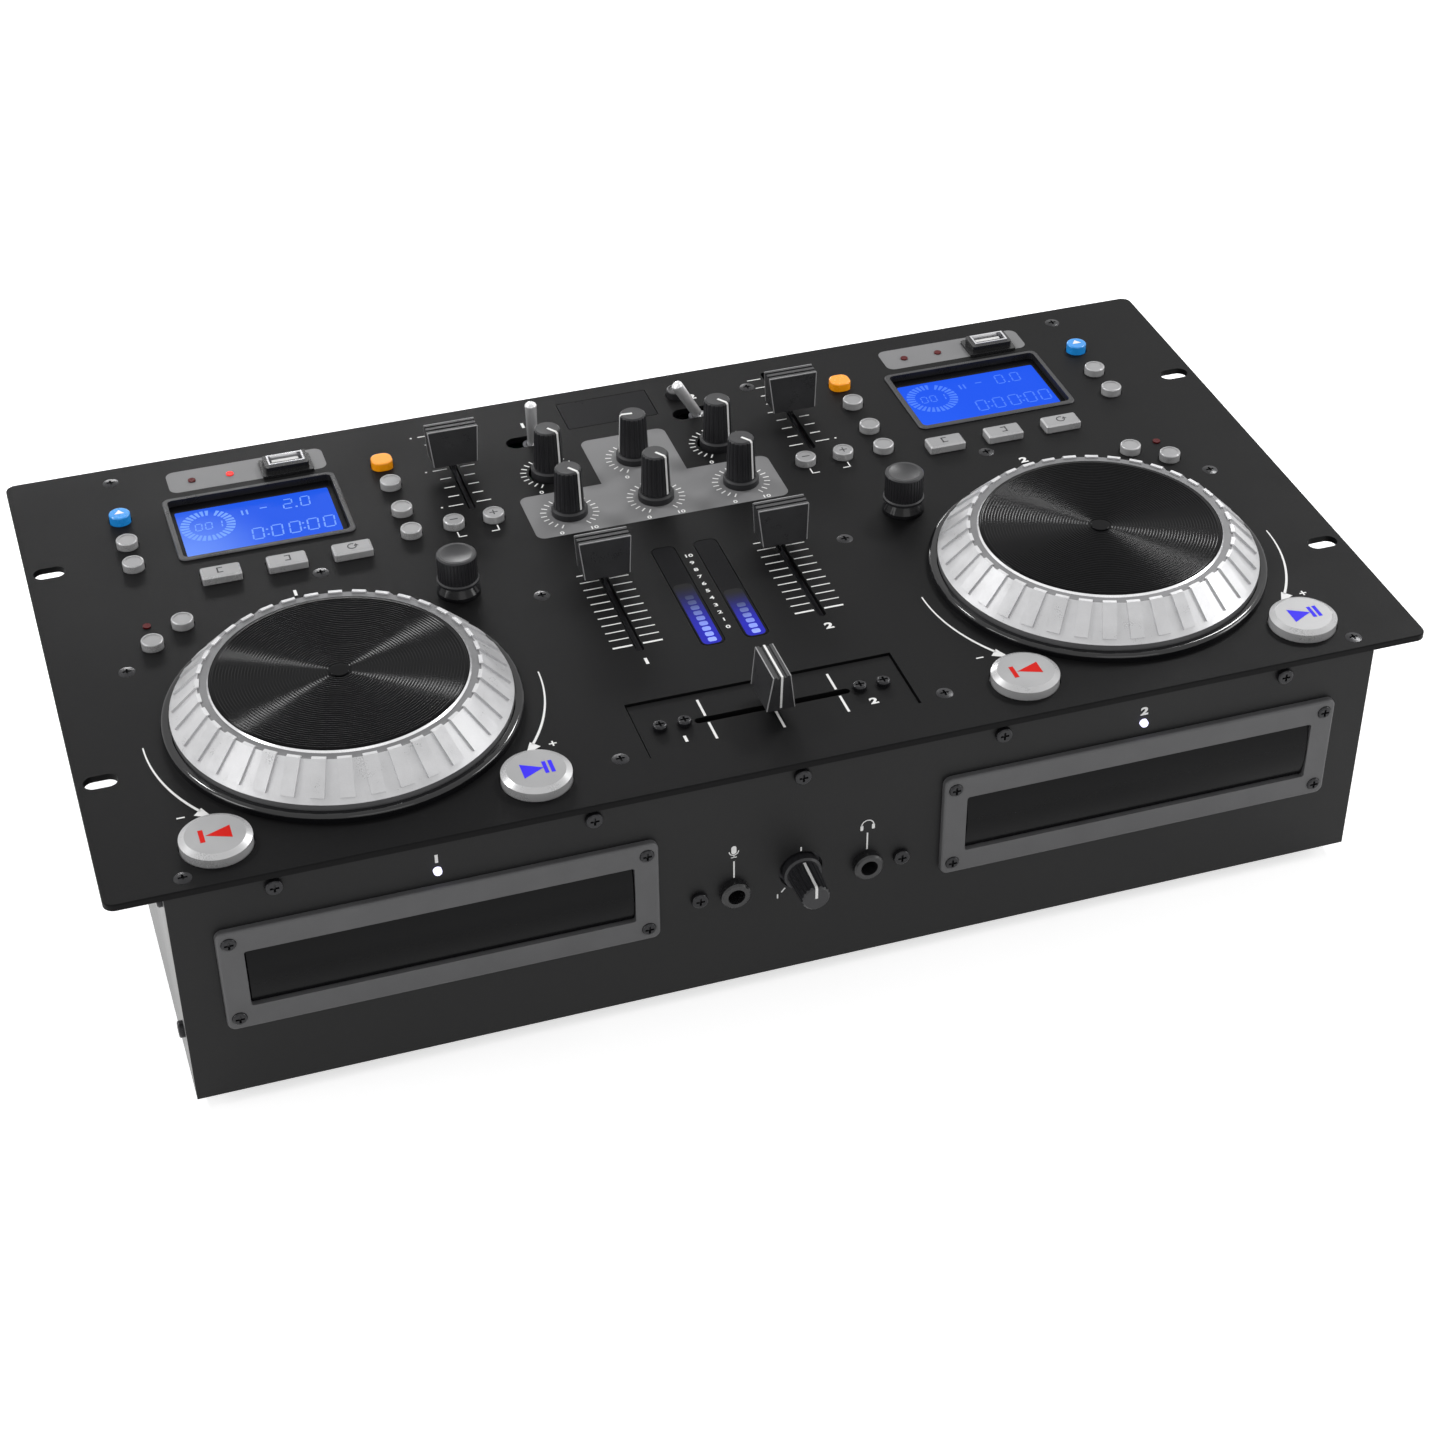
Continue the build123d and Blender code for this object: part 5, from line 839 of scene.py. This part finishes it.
# white line over the crossfader's cap
cap_top = corners("crossfader_cap")[1].z
line_foot = cap_top - CAP_HEIGHT + 0.8
line_path = [(-CAP_FOOT_LENGTH / 2, line_foot, -1, 0), (-CAP_TOP_LENGTH / 2, cap_top, -0.8, 0.8),
             (CAP_TOP_LENGTH / 2, cap_top, 0.8, 0.8), (CAP_FOOT_LENGTH / 2, line_foot, 1, 0)]
line = bmesh.new()
rows = []
for y, z, out_y, out_z in line_path:
    rows.append([line.verts.new(Vector((x, CROSS_Y + y + out_y * lift, z + out_z * lift)) * MM)
                 for lift in (CAP_LINE_SUNK, CAP_LINE_PROUD)
                 for x in (-CAP_LINE_HALF, CAP_LINE_HALF)])
skin_rows(line, rows)
finish_mesh(line, "crossfader_line", WHITE_INK, "crossfader_cap")


def bar(mesh, start, end, half):
    """A thin square bar between two points."""
    along = (end - start).normalized()
    side = along.orthogonal().normalized() * half
    other = along.cross(side)
    rings = [[mesh.verts.new((point + turn) * MM) for turn in (side, other, -side, -other)]
             for point in (start, end)]
    for here in range(4):
        after = (here + 1) % 4
        mesh.faces.new((rings[0][here], rings[0][after], rings[1][after], rings[1][here]))
    for ring in rings:
        mesh.faces.new(ring)


def cap_edge_highlights(node, turned):
    """Painted highlights: paler lines along the cap's two long top edges and down its four corners.
    """
    center = middle(node)
    top_z = corners(node)[1].z - 0.15
    foot_z = corners(node)[1].z - CAP_HEIGHT + 0.3

    def place(u, v, z):
        return Vector((center.x + v, center.y + u, z) if turned else (center.x + u, center.y + v, z))

    mesh = bmesh.new()
    for v_side in (-1, 1):
        tops = [place(u_side * CAP_TOP_LENGTH / 2, v_side * CAP_TOP_WIDTH / 2, top_z)
                for u_side in (-1, 1)]
        feet = [place(u_side * CAP_FOOT_LENGTH / 2, v_side * CAP_FOOT_WIDTH / 2, foot_z)
                for u_side in (-1, 1)]
        bar(mesh, tops[0], tops[1], HIGHLIGHT_HALF)
        bar(mesh, tops[0], feet[0], HIGHLIGHT_HALF)
        bar(mesh, tops[1], feet[1], HIGHLIGHT_HALF)
    finish_mesh(mesh, f"{node}_edges", FADER_EDGE_HIGHLIGHT, node)


# painted highlights along the edges of every fader cap
for deck in SIDES:
    cap_edge_highlights(f"channel_fader_cap_{deck}", False)
    cap_edge_highlights(f"pitch_fader_cap_{deck}", False)
cap_edge_highlights("crossfader_cap", True)

# ---------------------------------------------------------------- displays
LCD_LENGTH, LCD_WIDTH = 60.4, 31.7
LCD_SHIFT = (-0.3, -0.6)


def backlight(name, left, low, far_color, near_color, reach_to):
    """Blue backlight, paler at its lower left where the lamp sits."""
    material, nodes, links, shader = new_material(name)
    shader.inputs["Roughness"].default_value = 0.3
    shader.inputs["Specular IOR Level"].default_value = 0.05
    shader.inputs["Base Color"].default_value = (0.002, 0.003, 0.02, 1)
    shader.inputs["Emission Strength"].default_value = 1.0
    place = nodes.new("ShaderNodeTexCoord")
    shift = nodes.new("ShaderNodeMapping")
    shift.inputs["Location"].default_value = (-left * MM, -low * MM, -SCREEN_TOP * MM)
    links.new(place.outputs["Object"], shift.inputs["Vector"])
    reach = nodes.new("ShaderNodeVectorMath")
    reach.operation = "LENGTH"
    links.new(shift.outputs["Vector"], reach.inputs[0])
    near = nodes.new("ShaderNodeMapRange")
    near.interpolation_type = "SMOOTHSTEP"
    near.inputs["From Min"].default_value = 0
    near.inputs["From Max"].default_value = reach_to * MM
    near.inputs["To Min"].default_value = 1
    near.inputs["To Max"].default_value = 0
    links.new(reach.outputs["Value"], near.inputs["Value"])
    mix = nodes.new("ShaderNodeMix")
    mix.data_type = "RGBA"
    mix.inputs["A"].default_value = (*far_color, 1)
    mix.inputs["B"].default_value = (*near_color, 1)
    links.new(near.outputs["Result"], mix.inputs["Factor"])
    links.new(mix.outputs["Result"], shader.inputs["Emission Color"])
    return material


BACKLIGHTS = {"a": ((0.003, 0.09, 0.80), (0.13, 0.28, 0.95), 40),
              "b": ((0.0, 0.085, 0.86), (0.004, 0.10, 0.90), 30)}
LCD_BRIGHT = glow("lcd_segments", (0.16, 0.36, 1.0), 1.0)
LCD_FAINT = glow("lcd_segments_faint", (0.05, 0.20, 0.98), 1.0)
SMALL_DIGIT = (2.5, 4.6, 0.5)
MIDDLE_DIGIT = (3.4, 6.4, 0.55)
LARGE_DIGIT = (4.1, 7.6, 0.6)
RING_CELLS, RING_STEP = 30, 12
RING_INNER, RING_OUTER = 7.2, 10.7
CELL_INNER_HALF, CELL_OUTER_HALF = 3.1, 3.9
DOT_RADIUS, DOT_STEPS = 0.5, 8
for deck, side in SIDES.items():
    center_x, center_y = side * DISPLAY_X + LCD_SHIFT[0], DISPLAY_Y + LCD_SHIFT[1]
    field = Marks(top_plane(SCREEN_TOP))
    field.shape(rounded_box((center_x, center_y), LCD_LENGTH, LCD_WIDTH, 0.8, 3))
    light = backlight(f"lcd_backlight_{deck}", center_x - LCD_LENGTH / 2,
                      center_y - LCD_WIDTH / 2, *BACKLIGHTS[deck])
    field.piece(f"lcd_field_{deck}", light, "display_glass")
    marks = Marks(top_plane(SCREEN_TOP), INK, INK)
    # ring of cells, open near its top, with three small digits in it
    ring = (center_x - 19.1, center_y + 3.4)
    for index in range(RING_CELLS):
        angle = RING_STEP * index
        if 60 < angle < 84:
            continue
        marks.shape([polar(RING_INNER, angle - CELL_INNER_HALF, ring),
                     polar(RING_OUTER, angle - CELL_OUTER_HALF, ring),
                     polar(RING_OUTER, angle + CELL_OUTER_HALF, ring),
                     polar(RING_INNER, angle + CELL_INNER_HALF, ring)])
    for index, figure in enumerate("001"):
        marks.digit(figure, (ring[0] - 3.6 + 3.9 * index, ring[1] - 0.3), *SMALL_DIGIT)
    # upper row: pause strokes, a dash, and two digits with a point between them
    for x in (center_x - 4.9, center_x - 3.0):
        marks.line((x, center_y + 6.4), (x, center_y + 9.8), 0.7)
    marks.line((center_x + 2.2, center_y + 9.2), (center_x + 5.0, center_y + 9.2), 0.6)
    marks.digit("2" if deck == "a" else "0", (center_x + 13.2, center_y + 9.0), *MIDDLE_DIGIT)
    marks.disc((center_x + 16.2, center_y + 6.0), DOT_RADIUS, DOT_STEPS)
    marks.digit("0", (center_x + 20.1, center_y + 9.0), *MIDDLE_DIGIT)
    # lower row: five digits with two colons
    for x in (-1.6, 5.9, 12.8, 19.9, 26.3):
        marks.digit("0", (center_x + x, center_y - 8.2), *LARGE_DIGIT)
    for x in (2.1, 16.2):
        for y in (-10.0, -6.4):
            marks.disc((center_x + x, center_y + y), DOT_RADIUS, DOT_STEPS)
    marks.piece(f"lcd_marks_{deck}", LCD_BRIGHT if deck == "a" else LCD_FAINT, "display_glass")

# ---------------------------------------------------------------- lit level meters
METER_INK = INK * 0.4
METER_LOW = -55.9
# the X of each meter's middle, and the Y that its light reaches
METERS = {"left": (-8.6, -24.0), "right": (8.3, -33.0)}
CELL_PITCH, CELL_LENGTH, CELL_WIDTH = 3.5, 3.2, 2.6
for name, (x, top) in METERS.items():
    haze_top = top + 8
    haze = Marks(top_plane(PANEL_TOP), METER_INK)
    haze.shape(rounded_box((x, (METER_LOW + haze_top) / 2), 7.4, haze_top - METER_LOW, 2.2))
    haze_light = glow(f"meter_haze_light_{name}", (0.004, 0.006, 0.48), 1.0, "Y", METER_LOW + 6,
                      top + 7)
    haze.piece(f"meter_haze_{name}", haze_light, "window_plastic")
    cells = Marks(top_plane(PANEL_TOP), METER_INK, METER_INK)
    for index in range(int((top - METER_LOW) / CELL_PITCH)):
        y = METER_LOW + 2.6 + CELL_PITCH * index
        cells.shape(rounded_box((x + 0.3, y), CELL_LENGTH, CELL_WIDTH, 0.8, 3))
    cell_light = glow(f"meter_cell_light_{name}", (0.26, 0.34, 1.0), 1.4, "Y", METER_LOW - 4,
                      top + 6)
    cells.piece(f"meter_cells_{name}", cell_light, "window_plastic")

# ---------------------------------------------------------------- rear sockets' colours
SOCKET_XS = (-150.0, -128.0, -106.0)
SOCKET_ROWS = {"white": (64.0, SOCKET_WHITE), "red": (44.0, SOCKET_RED)}
COLLAR_INNER, COLLAR_OUTER, COLLAR_HEIGHT, COLLAR_CHAMFER = 4.25, 6.2, 1.2, 0.3
COLLAR_STEPS = 48
collar_profile = [(COLLAR_INNER, 0.0), (COLLAR_OUTER, 0.0),
                  (COLLAR_OUTER, COLLAR_HEIGHT - COLLAR_CHAMFER),
                  (COLLAR_OUTER - COLLAR_CHAMFER, COLLAR_HEIGHT), (COLLAR_INNER, COLLAR_HEIGHT)]
for name, (z, material) in SOCKET_ROWS.items():
    rings = bmesh.new()
    for x in SOCKET_XS:
        turn_profile(rings, collar_profile, rear_plane(REAR_FACE), (-x, z), COLLAR_STEPS)
    finish_mesh(rings, f"socket_rings_{name}", material, "chassis")

# numerals over the sockets, and a stroke and a ring at the rocker's ends
rear = Marks(rear_plane(REAR_FACE))
for x, numeral in zip(SOCKET_XS, "123"):
    rear.text(numeral, (-x, 77.0), MIDDLE_NUMERAL, weight=BOLD)
    rear.line((-x, 70.6), (-x, 73.6), FINE_LINE)
rocker = middle("power_rocker")
rear.line((-rocker.x, rocker.z + 17.2), (-rocker.x, rocker.z + 20.2), 0.7)
for start in (0, 180):
    rear.arc((-rocker.x, rocker.z - 19.8), 1.4, start, start + 180, FINE_LINE)
rear.piece("rear_marks", WHITE_INK, "case_paint")


# ---------------------------------------------------------------- studio
def clamped_sum(nodes, links, first, second):
    """The sum of two outputs, held between 0 and 1."""
    total = nodes.new("ShaderNodeMath")
    total.operation = "ADD"
    total.use_clamp = True
    links.new(first, total.inputs[0])
    links.new(second, total.inputs[1])
    return total.outputs[0]


# a pale floor that glows only to the camera and in reflections, so it keeps the shadow
FLOOR_GLOW = 0.6
FLOOR_SIZE = 12
FLOOR_DROP = -0.0002
floor_material, floor_nodes, floor_links, floor_shader = new_material("studio_floor")
floor_shader.inputs["Base Color"].default_value = (0.93, 0.93, 0.93, 1)
floor_shader.inputs["Roughness"].default_value = 0.9
floor_shader.inputs["Specular IOR Level"].default_value = 0.0
floor_path = floor_nodes.new("ShaderNodeLightPath")
floor_seen = clamped_sum(floor_nodes, floor_links, floor_path.outputs["Is Camera Ray"],
                         floor_path.outputs["Is Glossy Ray"])
floor_strength = floor_nodes.new("ShaderNodeMath")
floor_strength.operation = "MULTIPLY"
floor_strength.inputs[1].default_value = FLOOR_GLOW
floor_links.new(floor_seen, floor_strength.inputs[0])
floor_glow = floor_nodes.new("ShaderNodeEmission")
floor_glow.inputs["Color"].default_value = (1, 1, 1, 1)
floor_links.new(floor_strength.outputs[0], floor_glow.inputs["Strength"])
floor_sum = floor_nodes.new("ShaderNodeAddShader")
floor_links.new(floor_shader.outputs["BSDF"], floor_sum.inputs[0])
floor_links.new(floor_glow.outputs["Emission"], floor_sum.inputs[1])
floor_links.new(floor_sum.outputs["Shader"], floor_nodes["Material Output"].inputs["Surface"])
bpy.ops.mesh.primitive_plane_add(size=FLOOR_SIZE, location=(0, 0, FLOOR_DROP))
floor = bpy.context.object
floor.name = "studio_floor"
floor.data.materials.append(floor_material)

# a dim sky that looks white to the camera, in reflections and through clear pieces
SKY_STRENGTH = 0.4
world = bpy.data.worlds.new("studio")
bpy.context.scene.world = world
world.use_nodes = True
sky_nodes = world.node_tree.nodes
sky_links = world.node_tree.links
sky = sky_nodes["Background"]
sky.inputs["Color"].default_value = (1, 1, 1, 1)
sky.inputs["Strength"].default_value = SKY_STRENGTH
backdrop = sky_nodes.new("ShaderNodeBackground")
backdrop.inputs["Color"].default_value = (1, 1, 1, 1)
backdrop.inputs["Strength"].default_value = 1.0
sky_path = sky_nodes.new("ShaderNodeLightPath")
straight = clamped_sum(sky_nodes, sky_links, sky_path.outputs["Is Camera Ray"],
                       sky_path.outputs["Is Transmission Ray"])
sky_seen = clamped_sum(sky_nodes, sky_links, straight, sky_path.outputs["Is Glossy Ray"])
choose = sky_nodes.new("ShaderNodeMixShader")
sky_links.new(sky_seen, choose.inputs["Fac"])
sky_links.new(sky.outputs["Background"], choose.inputs[1])
sky_links.new(backdrop.outputs["Background"], choose.inputs[2])
sky_links.new(choose.outputs["Shader"], sky_nodes["World Output"].inputs["Surface"])

LAMP_TARGET = (0, 0, 0.08)


def softbox(name, direction, reach, width, height, power):
    """A rectangular area lamp that looks at the middle of the console; lengths in metres."""
    lamp = bpy.data.lights.new(name, "AREA")
    lamp.shape = "RECTANGLE"
    lamp.size = width
    lamp.size_y = height
    lamp.energy = power
    holder = bpy.data.objects.new(name, lamp)
    bpy.context.scene.collection.objects.link(holder)
    away = Vector(direction).normalized()
    holder.location = Vector(LAMP_TARGET) + away * reach
    holder.rotation_euler = away.to_track_quat("Z", "Y").to_euler()


# three narrow lamps at the back make the highlights on the grooves, three large ones fill in
softbox("left_back_box", (-0.513, 0.463, 0.72), 1.7, 0.42, 0.16, 9.5)
softbox("low_back_strip", (0.04, 0.96, 0.28), 1.7, 0.62, 0.12, 4.5)
softbox("right_back_box", (0.60, 0.44, 0.67), 1.7, 0.42, 0.20, 9.5)
softbox("left_softbox", (-0.94, -0.15, 0.32), 1.6, 0.6, 0.6, 5)
softbox("right_softbox", (0.93, -0.25, 0.34), 1.6, 0.6, 0.6, 6)
softbox("front_softbox", (0.05, -0.95, 0.45), 2.0, 1.2, 0.8, 3)

# ---------------------------------------------------------------- camera
# place in metres, turn in degrees, lens and sensor in millimetres
CAMERA_PLACE = (-0.25959, -0.85457, 0.70412)
CAMERA_TURN = (51.3064, 0.0786, -18.3544)
FOCAL_LENGTH = 70.973
SENSOR = 36.0
SHIFT_X = -0.02225
SHIFT_Y = 0.05249
camera_data = bpy.data.cameras.new("camera")
camera = bpy.data.objects.new("camera", camera_data)
bpy.context.scene.collection.objects.link(camera)
camera.location = CAMERA_PLACE
camera.rotation_euler = [math.radians(angle) for angle in CAMERA_TURN]
camera_data.lens = FOCAL_LENGTH
camera_data.sensor_width = SENSOR
camera_data.shift_x = SHIFT_X
camera_data.shift_y = SHIFT_Y
bpy.context.scene.camera = camera
bpy.context.scene.view_settings.view_transform = "Standard"
